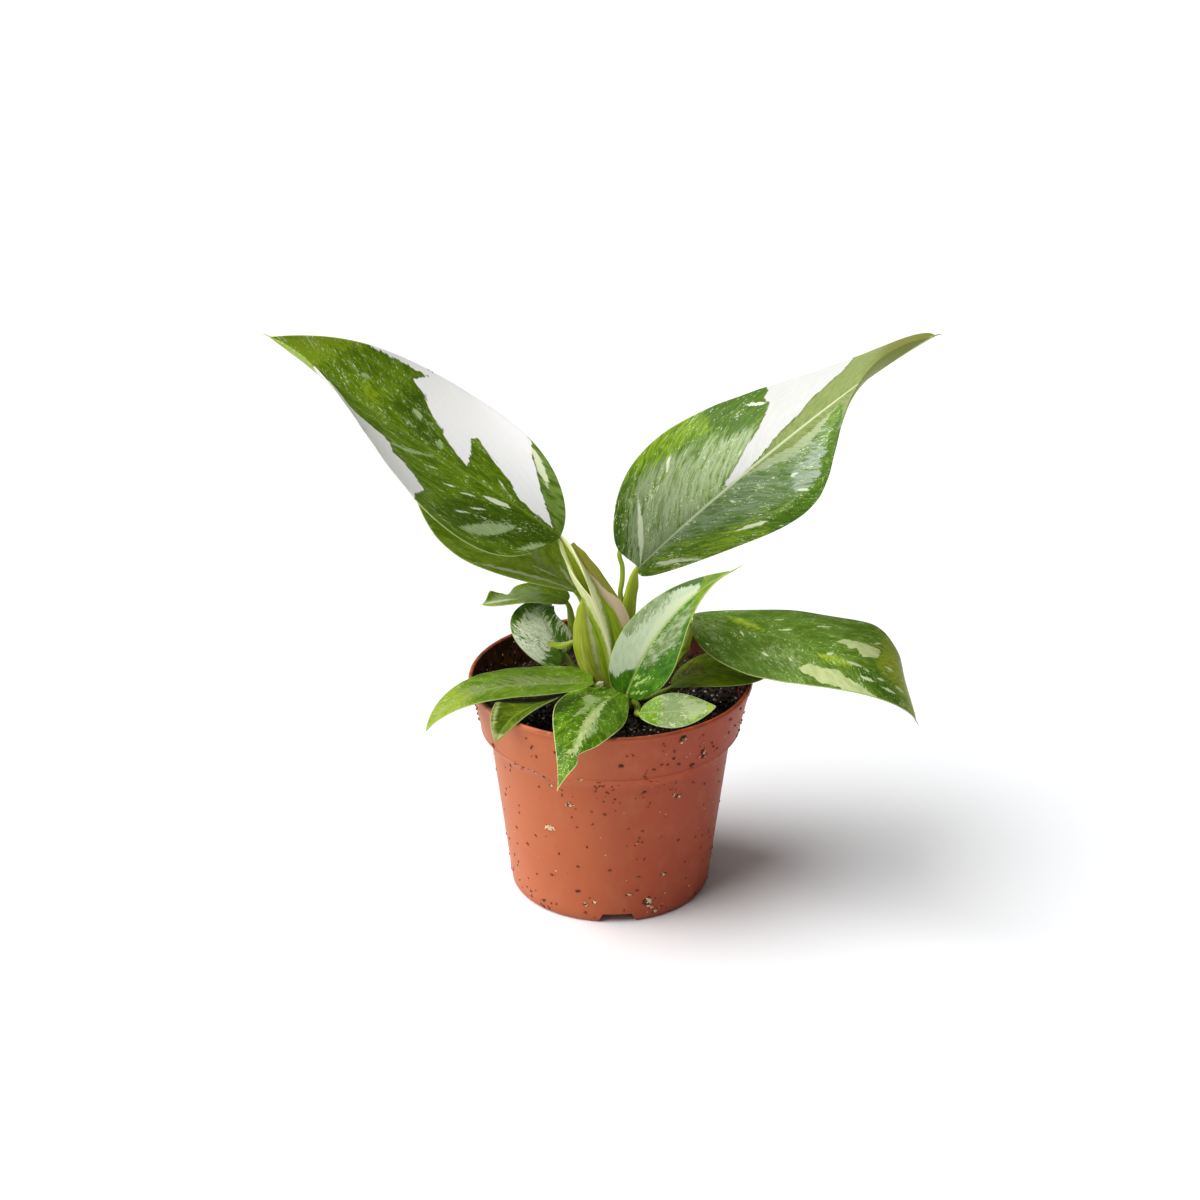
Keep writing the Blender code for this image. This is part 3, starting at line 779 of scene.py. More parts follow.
def blade_grid(leaf, rows, columns):
    """The blade's middle surface: points, t, s along the midrib and w across it, on a grid of rows."""
    even = np.linspace(0, 1, rows + 1)
    t = even - ROW_CROWDING * np.sin(2 * np.pi * even) / (2 * np.pi)
    ahead, right, up = blade_ways(leaf, t)
    length = leaf["length"]
    steps = np.diff(t)[:, None] * length
    centre = np.vstack([np.zeros(3), np.cumsum((ahead[1:] + ahead[:-1]) / 2 * steps, 0)]) + leaf["base"]
    reach = np.concatenate([np.linspace(0, 0.95, columns), MARGIN_COLUMNS])
    halves = []
    for side, way in zip(leaf["sides"], (-1, 1)):
        fold = np.radians(between(side[3], t))[:, None]
        curl = math.radians(side[4] or 0.01)
        width = half_width(side, t)[:, None]
        ruffle = 0.0
        for where, middle, spread, rise, pull in leaf.get("ruffles", ()):
            bell = (where == way) * np.exp(-(((t - middle) / spread) ** 2))[:, None]
            width = width * (1 - pull * bell)
            ruffle = ruffle + rise * bell * reach**2
        out = (np.sin(fold + curl * reach) - np.sin(fold)) / curl * width
        lift = (np.cos(fold) - np.cos(fold + curl * reach)) / curl * width + ruffle
        back = side[5] * length * (1 - np.exp(-t / 0.02))[:, None] * (1 - t[:, None]) ** 5 * reach**1.5
        points = centre[:, None] + right[:, None] * (way * out)[..., None] + up[:, None] * lift[..., None]
        points = points - ahead[:, None] * back[..., None]
        halves.append((points, way * width * reach, np.broadcast_to(width * (1 - reach), out.shape)))
    (left, left_w, left_rim), (right_half, right_w, right_rim) = halves
    points = np.concatenate([left[:, ::-1], right_half[:, 1:]], 1)
    w = np.concatenate([left_w[:, ::-1], right_w[:, 1:]], 1)
    rim = np.concatenate([left_rim[:, ::-1], right_rim[:, 1:]], 1)
    t = np.broadcast_to(t[:, None], w.shape)
    return points, t, t * length, w, rim


def grid_normals(points):
    """The upward normal at each place of a grid. The ends take their neighbours' normals."""
    along = np.gradient(points, axis=0)
    across = np.gradient(points, axis=1)
    normals = unit(np.cross(across, along))
    normals[0], normals[-1] = normals[2], normals[-3]
    return normals


def tissues(look):
    """A leaf's layers without the mark for its flecks."""
    return [layer for layer in look["layers"] if layer is not FLECKED]


def vein_place(s, w, slant):
    """Each place's distance across the side veins, the distance along them, and its half of the leaf."""
    away = np.abs(w)
    steepness = math.hypot(1, slant)
    across = (s - slant * away - VEIN_BEND * away**2) / steepness
    return np.stack([across, away * steepness, np.where(w < 0, 0.0, OTHER_SIDE)], -1)


def blade_part(leaf, look):
    """A blade as a closed shell with a rounded margin: (points, faces, attributes)."""
    points, t, s, w, rim = blade_grid(leaf, look["rows"], look["columns"])
    normals = grid_normals(points)
    veins = vein_place(s, w, look.get("slant", VEIN_SLANT))
    count, across = t.shape
    inward = np.clip(rim / (0.6 * BLADE_THICKNESS), 0, 1)
    ends = np.clip(np.minimum(t, 1 - t) / 0.004, 0, 1)
    round_edge = np.sqrt(1 - (1 - inward) ** 2) * np.sqrt(1 - (1 - ends) ** 2)
    half = BLADE_THICKNESS / 2 * round_edge
    size = min(1.0, leaf["length"] / FULL_SIZE)
    line = (0.5 + 0.5 * np.cos(2 * np.pi * veins[..., 0] / VEIN_SPACING)) ** 4
    breadth = np.clip((rim + np.abs(w)) / 14, 0, 1) ** 1.5
    fade = np.clip(rim / 3, 0, 1) * np.clip(np.abs(w) / 2, 0, 1) * round_edge
    groove = np.exp(-((w / (0.9 * size)) ** 2)) * (1 - t) ** 0.6 * round_edge
    ridge = np.exp(-((w / (1.0 * size)) ** 2)) * (1 - t) ** 1.1 * round_edge
    quilt = QUILTING * breadth * line * fade
    wave = MARGIN_WAVE * breadth * np.clip(1.4 - 1.6 * t, 0, 1) * np.clip(1 - rim / 8, 0, 1) ** 2
    wave = wave * np.sin(veins[..., 0] * 0.57 + 2 * np.sign(w))
    lift = wave * np.clip(np.minimum(t, 1 - t) / 0.06, 0, 1)
    top = points + normals * (half + lift - MIDRIB_GROOVE * size * groove - quilt)[..., None]
    under = points - normals * (half - lift + MIDRIB_RIDGE * size * ridge + 0.8 * quilt)[..., None]
    edge = np.ones((count, across), bool)
    edge[1:-1, 1:-1] = False
    upper = np.arange(count * across).reshape(count, across)
    lower = np.where(edge, upper, 0)
    lower[~edge] = count * across + np.arange((~edge).sum())
    faces = []
    for grid, flip in ((upper, False), (lower, True)):
        a, b, c, d = grid[:-1, :-1], grid[:-1, 1:], grid[1:, 1:], grid[1:, :-1]
        corners = (d, c, b, a) if flip else (a, b, c, d)
        faces.append(np.stack([corner.ravel() for corner in corners], 1))
    attributes = {"vein": veins, "rim": rim + 3 * np.exp(-t / 0.02), "rib": np.abs(w)}
    width = {-1: leaf["sides"][0], 1: leaf["sides"][1]}

    def to_mm(place_t, place_u):
        side = width[-1 if place_u < 0 else 1]
        reach = float(half_width(side, np.array(min(max(place_t, 0.0), 1.0))))
        return place_t * leaf["length"], place_u * reach

    for layer in tissues(look):
        attributes[layer["name"]] = np.minimum(depth_inside(layer["shapes"], s, w, to_mm), layer["cap"])
    every = np.concatenate([top.reshape(-1, 3), under[~edge]])
    doubled = {
        name: np.concatenate([values.reshape(count * across, -1), values[~edge].reshape((~edge).sum(), -1)])
        for name, values in attributes.items()
    }
    doubled = {name: values if values.shape[1] == 3 else values[:, 0] for name, values in doubled.items()}
    doubled["under"] = np.concatenate([np.where(edge, 0.5, 0.0).ravel(), np.ones((~edge).sum())])
    return every, np.concatenate(faces).tolist(), doubled


# ---------------------------------------------------------------- stalks, sheaths and hair tips
def smooth_path(bends, leaving, arriving, spacing=0.8):
    """Evenly spaced (x, y, z, radius) places on a curve through the bends."""
    knots = np.array(bends, float)
    ways = np.empty((len(knots), 3))
    ways[1:-1] = knots[2:, :3] - knots[:-2, :3]
    ways[0] = leaving
    ways[-1] = arriving
    ways = unit(ways)
    share = np.linspace(0, 1, 25)[:, None]
    rest = 1 - share
    places = []
    for i in range(len(knots) - 1):
        reach = np.linalg.norm(knots[i + 1, :3] - knots[i, :3]) / 3
        a, d = knots[i, :3], knots[i + 1, :3]
        b, c = a + ways[i] * reach, d - ways[i + 1] * reach
        curve = a * rest**3 + 3 * b * share * rest**2 + 3 * c * share**2 * rest + d * share**3
        eased = share**2 * (3 - 2 * share)
        radius = knots[i, 3] * (1 - eased) + knots[i + 1, 3] * eased
        places.append(np.hstack([curve, radius])[0 if i == 0 else 1 :])
    places = np.concatenate(places)
    run = np.concatenate([[0], np.cumsum(np.linalg.norm(np.diff(places[:, :3], axis=0), axis=1))])
    even = np.linspace(0, run[-1], max(8, int(run[-1] / spacing)))
    return np.stack([np.interp(even, run, places[:, i]) for i in range(4)], 1), even


def swept(path, run, section, facing, attributes):
    """A closed body swept along a path: (points, faces, attributes).

    section gives a ring's (forward, sideways) points for a share of the way, in units of the radius.
    facing is the way that its forward side looks.
    """
    tangents = unit(np.gradient(path[:, :3], axis=0))
    forward = np.asarray(facing, float) - tangents * (tangents @ np.asarray(facing, float))[:, None]
    forward = unit(forward)
    sideways = np.cross(forward, tangents)
    share = run / run[-1]
    rings = np.stack([section(x) for x in share])
    points = path[:, None, :3] + path[:, None, 3:] * (
        forward[:, None] * rings[..., :1] + sideways[:, None] * rings[..., 1:2]
    )
    count, around = rings.shape[:2]
    index, faces = ring_faces(count, around, flip=True)
    ends = [path[0, :3], path[-1, :3]]
    low, high = count * around, count * around + 1
    faces += [[low, int(a), int(b)] for a, b in zip(index[0], np.roll(index[0], -1))]
    faces += [[high, int(b), int(a)] for a, b in zip(index[-1], np.roll(index[-1], -1))]
    made = {name: values(share, run, rings) for name, values in attributes.items()}
    closed = {}
    for name, values in made.items():
        flat = values.reshape(count * around, -1)
        flat = np.vstack([flat, values[0].mean(0).reshape(1, -1), values[-1].mean(0).reshape(1, -1)])
        closed[name] = flat if flat.shape[1] == 3 else flat[:, 0]
    return np.concatenate([points.reshape(-1, 3), ends]), faces, closed


SIDES = 36  # points round a stalk


def round_section(groove):
    """A round stalk's section with a groove of the given depth along its forward side."""
    turn = np.linspace(0, 2 * np.pi, SIDES, endpoint=False)
    from_front = np.minimum(turn, 2 * np.pi - turn)

    def section(share):
        radius = 1 - groove * np.exp(-((from_front / 0.55) ** 2)) * min(1, 4 * (1 - share) + 0.2)
        return np.stack([radius * np.cos(turn), radius * np.sin(turn)], 1)

    return section


def around_stalk(share, run, rings):
    """Each point's place round and along a stalk in millimetres, near enough for its grain."""
    turn = np.arctan2(rings[..., 1], rings[..., 0])
    return np.stack([
        turn * 2.2, np.broadcast_to(run[:, None], turn.shape), np.broadcast_to(share[:, None], turn.shape),
    ], -1)


ACROSS = np.linspace(-1, 1, 24)  # from one lip of a strip or channel to the other
STRIP_RING = np.concatenate([ACROSS, ACROSS[::-1]])  # over to the far lip and back
ROUNDED = np.sqrt(1 - np.abs(ACROSS) ** 6)  # how much of its thickness is left towards its lips


def channel_section(opening, thickness):
    """A channel that opens forward: a curved strip whose half angle is opening(share), thickness across."""

    def section(share):
        turn = np.pi + ACROSS * opening(share)
        outer = np.stack([np.cos(turn), np.sin(turn)], 1)
        inner = outer * (1 - thickness(share) * ROUNDED)[:, None]
        return np.concatenate([outer, inner[::-1]])

    return section


def strip_section(bow, thickness):
    """A strip that bulges forward by bow, thickness across, in half widths."""

    def section(share):
        forward = bow * (1 - ACROSS**2)
        back = np.stack([forward - thickness * ROUNDED, -ACROSS], 1)
        front = np.stack([forward + thickness * ROUNDED, -ACROSS], 1)
        return np.concatenate([back, front[::-1]])

    return section


def lip(left, right, places=(0, 1), breadths=(0, 0)):
    """How near each point of a strip or channel lies to its left and right lip, from 0 to 1.

    breadths broaden the lips at the given places along it.
    """
    if left and right:
        near = np.maximum(-left * STRIP_RING, right * STRIP_RING)
    else:
        near = (right - left) * STRIP_RING

    def values(share, run, rings):
        return np.maximum(near[None] + np.interp(share, places, breadths)[:, None], 0)

    return values


def inside_channel(share, run, rings):
    """1 on a channel's inner face and 0 on its outer face."""
    return np.broadcast_to(np.repeat([0.0, 1.0], len(ACROSS)), rings.shape[:2]).copy()


def nowhere(share, run, rings):
    """0 at every point."""
    return np.zeros(rings.shape[:2])


def leaving_crown(start):
    """Straight up from the crown's top, or straight out from its side."""
    x, y, z = start[:3]
    return (0, 0, 1) if z > CROWN_TOP else (x, y, 0)


# ---------------------------------------------------------------- material: leaf lamina
# The grain of a leaf: its size across and along the side veins in millimetres, its detail, shift and grit.
LEAF_GRAINS = {
    "fingers": (1.0, 6.0, 6.0, 0.0, 0.62),
    "streaks": (0.7, 5.0, 6.0, 5.0, 0.6),
    "speckle": (1.1, 1.9, 6.0, 7.0, 0.65),
    "blotch": (6.0, 8.0, 5.0, 3.0, 0.6),
    "mottle": (2.2, 3.2, 5.0, 11.0, 0.62),
    "drift": (1.5, 11.0, 5.0, 31.0, 0.6),
    "fine": (0.35, 0.7, 3.0, 9.0, 0.6),
    "threads": (0.3, 2.4, 1.0, 14.0, 0.5),
    "dots": (0.5, 0.8, 1.0, 17.0, 0.5),
    "chips": (1.0, 2.8, 2.0, 23.0, 0.6),
}
FLECKS = (("threads", 0.0), ("dots", -0.01), ("chips", 0.0))  # the kinds of fleck, and how much rarer each is
VEIN_WARP = (2.6, 2.6, 0.0)  # how far the grain strays from the side veins
JAG_REACH = 2.4  # noise keeps to the middle of its range, and this makes up for it


def flecked(tree, colour, grains, fleck_colour, rarity):
    """The colour with small pale flecks, gathered in some places and missing from others."""
    for title, rarer in FLECKS:
        scarce = add(
            tree, "ShaderNodeMath", {0: grains["blotch"], 1: -0.5, 2: rarity + rarer + 0.25},
            operation="MULTIPLY_ADD",
        )
        above = add(tree, "ShaderNodeMath", {0: grains[title], 1: scarce.outputs[0]}, operation="SUBTRACT")
        colour = mixed(tree, ramped(tree, above.outputs[0], 0.0, 0.016), colour, fleck_colour)
    return colour


def leaf_lamina(name, look, gloss):
    """Fresh leaf lamina under a thin wax: satin and mottled, with sectors and flecks along its side veins."""
    made, tree = start_material(name)
    vein = add(tree, "ShaderNodeAttribute", attribute_name="vein").outputs["Vector"]
    rim = add(tree, "ShaderNodeAttribute", attribute_name="rim").outputs["Fac"]
    rib = add(tree, "ShaderNodeAttribute", attribute_name="rib").outputs["Fac"]
    under = add(tree, "ShaderNodeAttribute", attribute_name="under").outputs["Fac"]
    stray = add(tree, "ShaderNodeTexNoise", {"Vector": vein, "Scale": 0.22, "Detail": 2.0}).outputs["Color"]
    vein = add(
        tree, "ShaderNodeVectorMath", {0: stray, 1: VEIN_WARP, 2: vein}, operation="MULTIPLY_ADD",
    ).outputs[0]
    grains = {
        title: grain(tree, vein, (across, along, 9.0), detail, shift, grit)
        for title, (across, along, detail, shift, grit) in LEAF_GRAINS.items()
    }
    dark, middle, light = look["green"]
    colour = mixed(tree, ramped(tree, grains["blotch"], 0.4, 0.58), dark, middle)
    colour = mixed(tree, ramped(tree, grains["mottle"], 0.46, 0.72), colour, light)
    colour = mixed(tree, ramped(tree, grains["fine"], 0.52, 0.76), colour, dark)
    margin = ramped(tree, rim, 0.4, 0.12)
    white_rim = look.get("white_rim", False)
    if white_rim:  # the white sectors run out over the paler margin
        colour = mixed(tree, margin, colour, look["rim"])
    for layer in look["layers"]:
        if layer is FLECKED:
            colour = flecked(tree, colour, grains, *look["fleck"])
            continue
        depth = add(tree, "ShaderNodeAttribute", attribute_name=layer["name"]).outputs["Fac"]
        jag = layer["jag"] * JAG_REACH
        ragged = add(
            tree, "ShaderNodeMath", {0: grains[layer["grain"]], 1: jag, 2: depth}, operation="MULTIPLY_ADD",
        ).outputs[0]
        if layer["edge"]:
            near = add(
                tree, "ShaderNodeMath", {0: ramped(tree, ragged, jag / 2 - 1.4, jag / 2), 1: 0.7},
                operation="MULTIPLY",
            ).outputs[0]
            colour = mixed(tree, near, colour, layer["edge"])
        inside = ramped(tree, ragged, jag / 2 - layer["soft"] / 2, jag / 2 + layer["soft"] / 2)
        paint = layer["colour"]
        if layer["second"]:
            streaks = ramped(tree, grains[look.get("vary", "mottle")], 0.4, 0.64)
            paint = mixed(tree, streaks, paint, layer["second"])
        colour = mixed(tree, inside, colour, paint)
    rib_colour, rib_share = look["rib"]
    rib_line = add(
        tree, "ShaderNodeMath", {0: ramped(tree, rib, 0.7, 0.2), 1: rib_share}, operation="MULTIPLY",
    )
    colour = mixed(tree, rib_line.outputs[0], colour, rib_colour)
    if not white_rim:
        colour = mixed(tree, margin, colour, look["rim"])
    pale = add(tree, "ShaderNodeMath", {0: under, 1: 0.35}, operation="MULTIPLY")
    colour = mixed(tree, pale.outputs[0], colour, "#8C9C58")
    satin = add(tree, "ShaderNodeMapRange", {
        "Value": grains["speckle"], "To Min": 0.3, "To Max": 0.48,
    }).outputs[0]
    matte = add(tree, "ShaderNodeMath", {0: under, 1: 0.15, 2: satin}, operation="MULTIPLY_ADD").outputs[0]
    bumps = add(tree, "ShaderNodeBump", {"Height": grains["fine"], "Strength": 0.3, "Distance": 0.1 * MM})
    shader = add(tree, "ShaderNodeBsdfPrincipled", {
        "Base Color": colour, "Roughness": matte, "IOR": 1.42, "Normal": bumps.outputs[0],
        "Specular IOR Level": gloss,
        "Subsurface Weight": 0.5, "Subsurface Radius": (1.0, 1.0, 0.7), "Subsurface Scale": 0.6 * MM,
    })
    add(tree, "ShaderNodeOutputMaterial", {"Surface": shader.outputs[0]})
    return made


# ---------------------------------------------------------------- material: stalks and sheaths
def petiole_skin(name, green, base, stripes, stripe_share, lips, inner):
    """Smooth leaf-stalk skin: satin, with fine lengthwise streaks, paler lips and a darker channel."""
    made, tree = start_material(name)
    place = add(tree, "ShaderNodeAttribute", attribute_name="stalk").outputs["Vector"]
    near_lip = add(tree, "ShaderNodeAttribute", attribute_name="lip").outputs["Fac"]
    inside = add(tree, "ShaderNodeAttribute", attribute_name="inside").outputs["Fac"]
    streak = grain(tree, place, (0.5, 14.0, 9.0), 2.0)
    broad = grain(tree, place, (1.8, 30.0, 9.0), 1.0, 4.0)
    mottle = grain(tree, place, (0.9, 2.6, 9.0), 4.0, 8.0, 0.6)
    along = add(tree, "ShaderNodeSeparateXYZ", {0: place}).outputs[2]
    colour = mixed(tree, ramped(tree, streak, 0.35, 0.65), *green)
    colour = mixed(tree, ramped(tree, broad, stripe_share, stripe_share + 0.08), colour, stripes)
    colour = mixed(tree, inside, colour, inner)
    ragged = add(
        tree, "ShaderNodeMath", {0: mottle, 1: 0.3, 2: near_lip}, operation="MULTIPLY_ADD",
    ).outputs[0]
    streaked = mixed(tree, ramped(tree, streak, 0.5, 0.9), lips, stripes)
    colour = mixed(tree, ramped(tree, ragged, 0.74, 0.86), colour, streaked)
    colour = mixed(tree, ramped(tree, along, 0.22, 0.0), colour, base)
    bumps = add(tree, "ShaderNodeBump", {"Height": streak, "Strength": 0.3, "Distance": 0.1 * MM})
    shader = add(tree, "ShaderNodeBsdfPrincipled", {
        "Base Color": colour, "Roughness": 0.42, "IOR": 1.45, "Normal": bumps.outputs[0],
        "Specular IOR Level": 0.3,
        "Subsurface Weight": 0.2, "Subsurface Radius": (0.6, 1.0, 0.3), "Subsurface Scale": 1.0 * MM,
    })
    add(tree, "ShaderNodeOutputMaterial", {"Surface": shader.outputs[0]})
    return made


# ---------------------------------------------------------------- the leaves
USUAL_GLOSS = 0.14
GLOSS = {"centre": 0.32, "left_back": 0.34, "front_right": 0.25}  # the silver leaves, whose wax is glossier

# The dried thread at a leaf's tip: (forward, right, up) of its bends from the tip, and its thickness.
HAIRS = {
    "upper_left": (((1.8, 0.2, -0.8), (3.6, 0.0, -2.2)), 0.32),
    "upper_right": (((1.6, 0, -0.4), (3.2, 0, -1.2)), 0.34),
    "centre": (((2.6, 0, 0.1), (5.2, 0, 0.4)), 0.3),
    "right": (((1.4, 0, 0.1), (3.0, 0, 0.5)), 0.3),
}

# How living blades differ from the plain ones: their halves, and ruffles in their margins. Each ruffle is
# (side, place along the midrib, reach, how far it lifts the margin, how much it narrows the half).
LIVING = {
    "back_left": dict(
        sides=((8.8, 0.7, 0.8, (7, 14, 6), -14, 0.03), (7, 0.43, 0.94, (11, 9, 12), -9, 0.03)),
        ruffles=((1, 0.87, 0.06, 2.6, -0.3), (1, 0.69, 0.06, -0.6, 0.6)),
    ),
    "left_back": dict(
        sides=((14, 0.42, 0.5, (-10, 4, 32), -9, 0.16), (8.6, 0.42, 0.75, (5, 8, 15), -5, 0.03)),
        ruffles=((-1, 0.79, 0.18, 0.0, 0.58), (1, 0.5, 0.25, 0.0, 0.34)),
    ),
    "front": dict(ruffles=((-1, 0.775, 0.05, -0.8, 0.52), (-1, 0.87, 0.04, 0.5, -0.12))),
    "right": dict(ruffles=((-1, 0.82, 0.07, 1.0, -0.08), (-1, 0.68, 0.12, 2.8, -0.15))),
}


def hair_part(leaf, bends, thickness, titles):
    """A tapered thread that carries on from the leaf's tip."""
    tip = blade_grid(leaf, 100, 4)[0][-1].mean(0)
    ahead, right, up = (way[0] for way in blade_ways(leaf, np.array([1.0])))
    knots = [(*(tip - ahead * 1.0), thickness)]
    for i, (forward, sideways, rise) in enumerate(bends):
        knots.append((*(tip + ahead * forward + right * sideways + up * rise), thickness * (0.6 - 0.45 * i)))
    path, run = smooth_path(knots, ahead, ahead, 0.5)
    points, faces, _ = swept(path, run, round_section(0.0), up, {})
    made = {title: np.full(len(points), -FAR) for title in titles}
    made["vein"] = np.zeros((len(points), 3))
    made["rim"] = np.zeros(len(points))
    made["rib"] = np.full(len(points), 2.0)
    made["under"] = np.full(len(points), 0.5)
    return points, faces, made


for key, leaf in BLADES.items():
    look = LEAVES[key]
    leaf = {**leaf, **LIVING.get(key, {})}
    parts = [blade_part(leaf, look)]
    if key in HAIRS:
        parts.append(hair_part(leaf, *HAIRS[key], [layer["name"] for layer in tissues(look)]))
    piece = mesh_object(f"{key}_blade", *joined(parts))
    slot = "leaf_silver" if key in GLOSS else "leaf_green"
    lamina = leaf_lamina(f"leaf_lamina_{key}", look, GLOSS.get(key, USUAL_GLOSS))
    finish_piece(piece, lamina, slot, f"leaf_{key}")


# ---------------------------------------------------------------- the stalks and sheaths
SKINS = {  # name: streaked colours, base, stripes, how rare they are, lips and channel
    "petiole": (("#8CA21C", "#A6B83A"), "#A6B050", "#B4C268", 0.6, "#DFE2A6", "#94A41E"),
    # A copy of the petiole skin painted brighter, as painted light, for the upper right stalk, which lies in
    # shade.
    "painted_light": (("#98AE24", "#B4C440"), "#98A434", "#C6D06C", 0.58, "#DFE2A6", "#94A41E"),
    "wing": (("#8CA814", "#A2BA24"), "#9CAC3C", "#AEC23C", 0.62, "#DCE2B0", "#8CA814"),
    "fresh": (("#96B40A", "#AECA1A"), "#98AA2C", "#BCD03C", 0.64, "#B8C850", "#96B40A"),
    "olive": (("#96A41C", "#AEB83A"), "#9C9C38", "#BCC25C", 0.62, "#D4D8A4", "#9AA414"),
    "pink": (("#98982C", "#ACA848"), "#A8A264", "#E4D2A8", 0.6, "#F0D6B0", "#98A034"),
    "thin": (("#90A820", "#AABC34"), "#98A834", "#C2CA6C", 0.6, "#C6CE84", "#90A820"),
    "bud": (("#A9AC74", "#C8C69A"), "#A9A474", "#DDD8C0", 0.6, "#DDD8C0", "#3C2C1A"),
}
SKINS = {title: petiole_skin(f"leaf_stalk_skin_{title}", *colours) for title, colours in SKINS.items()}

# Stalks whose living form differs from the plain stalk: (x, y, z, radius) through its bends.
FULLER_STALKS = {
    "upper_left": (
        (1.0, -4.4, 84.8, 2.2), (-1.4, -4.8, 104.5, 2.6), (-6.6, -4.6, 120.5, 3.5), (-11.8, -3.4, 131, 3.3),
        (-16.2, -1.6, 140, 2.5),
    ),
    "upper_right": ((6, 6, 84.8, 2.8), (5.4, 8.4, 98, 3.0), (6.6, 8, 110, 3.0), (8.2, 6, 121.5, 2.4)),
}


def channel_opening(share):
    """Half the angle of the big stalk's channel wall: its lips meet below and part above."""
    return 3.13 - 1.2 * np.clip((share - 0.6) / 0.3, 0, 1)


def channel_wall(share):
    """The thickness of the channel's wall, which fills up where the stalk meets the blade."""
    return 0.6 + 0.3 * np.clip((share - 0.85) / 0.15, 0, 1)


for key, bends in STALKS.items():
    leaf = BLADES[key]
    bends = FULLER_STALKS.get(key, bends)
    ahead, right, up = (way[0] for way in blade_ways(leaf, np.array([0.0])))
    end = np.array(leaf["base"]) + ahead * 1.4 - up * 0.75  # just inside the blade's midrib
    knots = (*bends, (*end, 0.8 * STALK_TIP_RADIUS))
    path, run = smooth_path(knots, leaving_crown(bends[0]), ahead)
    if key == "upper_left":
        section = channel_section(channel_opening, channel_wall)
        facing = (0.1, -1, 0.3)
        paint = {
            "stalk": around_stalk, "lip": lip(1, 1, (0, 0.25, 0.5, 0.75, 1), (-0.28, -0.25, -0.13, 0.06, 0)),
            "inside": inside_channel,
        }
    else:
        section = round_section(0.22 if bends[0][3] > 1.8 else 0.12)
        facing = up
        paint = {"stalk": around_stalk, "lip": nowhere, "inside": nowhere}
    piece = mesh_object(f"{key}_stalk", *swept(path, run, section, facing, paint))
    # The upper right stalk takes the skin painted brighter, as painted light.
    finish_piece(piece, SKINS["painted_light" if key == "upper_right" else "petiole"], "stalk", f"stalk_{key}")

# The sheaths and the broad bases that the stalks grow from. Each has the bends of its middle line,
# (x, y, z, half its width), its section, the way it faces, how pale its left and right lips are,
# its skin, its slot and the node it stands for.
CLASPING = {
    "sheath_pink_skin": (
        ((5.6, 0.4, 84.8, 2.4), (6.2, 0.6, 104, 2.4), (3.0, 1.2, 114, 2.9), (-2.4, 1.4, 122, 3.5),
         (-6.8, 1.4, 129.4, 3.3), (-11.0, 1.6, 136.4, 2.4), (-14.6, 1.8, 142.4, 0.8)),
        strip_section(0.7, 0.16), (-0.1, -1, 0.2),
        (1, 0, (0, 0.5, 0.65, 0.84, 1), (1.8, 1.8, 1.1, 0.45, 0.2)), "pink", "sheath", "sheath_pink",
    ),
    "sheath_olive_skin": (
        ((-4.0, -4.8, 84.8, 3.1), (-6.2, -5.0, 90, 3.8), (-8.4, -4.9, 95.5, 4.5), (-10.0, -4.7, 102.5, 4.7),
         (-10.7, -4.4, 109.5, 3.8), (-10.8, -4.1, 116, 2.5), (-10.6, -3.9, 122, 0.6)),
        strip_section(0.5, 0.14), (-0.3, -1, 0.1), (0.45, 0.85), "olive", "sheath", "sheath_olive",
    ),
    "sheath_thin_skin": (
        ((5.0, 8.0, 100, 0.9), (4.5, 7.6, 113.8, 1.0), (3.7, 7.2, 119, 1.0), (4.4, 7, 124.7, 1.0),
         (4.4, 7, 130.6, 0.95), (3.3, 7, 135, 0.9), (3.9, 7, 140.5, 0.5)),
        strip_section(0.6, 0.3), (0, -1, 0), (0, 0), "thin", "sheath", "sheath_thin",
    ),
    "green_wing": (
        ((-1.4, -4.0, 84.8, 3.0), (-2.8, -4.0, 92, 3.5), (-4.7, -3.8, 100, 3.4), (-6.9, -3.6, 108, 2.9),
         (-8.9, -3.4, 116, 1.5), (-10.2, -3.2, 122.5, 0.3)),
        strip_section(0.6, 0.14), (-0.35, -1, 0.1), (1, 0), "wing", "stalk", None,
    ),
    "fresh_sheath": (
        ((3.2, -2.4, 84.8, 3.4), (2.6, -2.4, 94, 3.8), (1.9, -2.2, 103.5, 3.8), (-0.6, -1.8, 112, 3.2),
         (-4.0, -1.6, 119.5, 1.7), (-6.8, -1.6, 125, 0.4)),
        strip_section(0.7, 0.14), (0.15, -1, 0.1), (0, 0), "fresh", "sheath", None,
    ),
    "back_lobe": (
        ((-24.6, 3.2, 100.2, 0.5), (-22.0, 2.4, 99.5, 1.1), (-18.8, 1.6, 99.4, 1.4), (-15.8, 1.4, 100.6, 1.0),
         (-12.9, 1.6, 102.6, 0.08)),
        strip_section(0.4, 0.14), (0.1, -1, 0.8), (0.9, 0.3), "thin", "leaf_silver", None,
    ),
}

for title, (bends, section, facing, lips, skin, slot, node) in CLASPING.items():
    last = np.subtract(bends[-1][:3], bends[-2][:3])
    first = (0, 0, 1) if slot != "leaf_silver" else np.subtract(bends[1][:3], bends[0][:3])
    path, run = smooth_path(bends, first, last, 0.6)
    paint = {"stalk": around_stalk, "lip": lip(*lips), "inside": nowhere}
    piece = mesh_object(title, *swept(path, run, section, facing, paint))
    finish_piece(piece, SKINS[skin], slot, *([node] if node else []))


# ---------------------------------------------------------------- the pot
POT_STEPS = 240
LIP_ROUNDING = 0.85


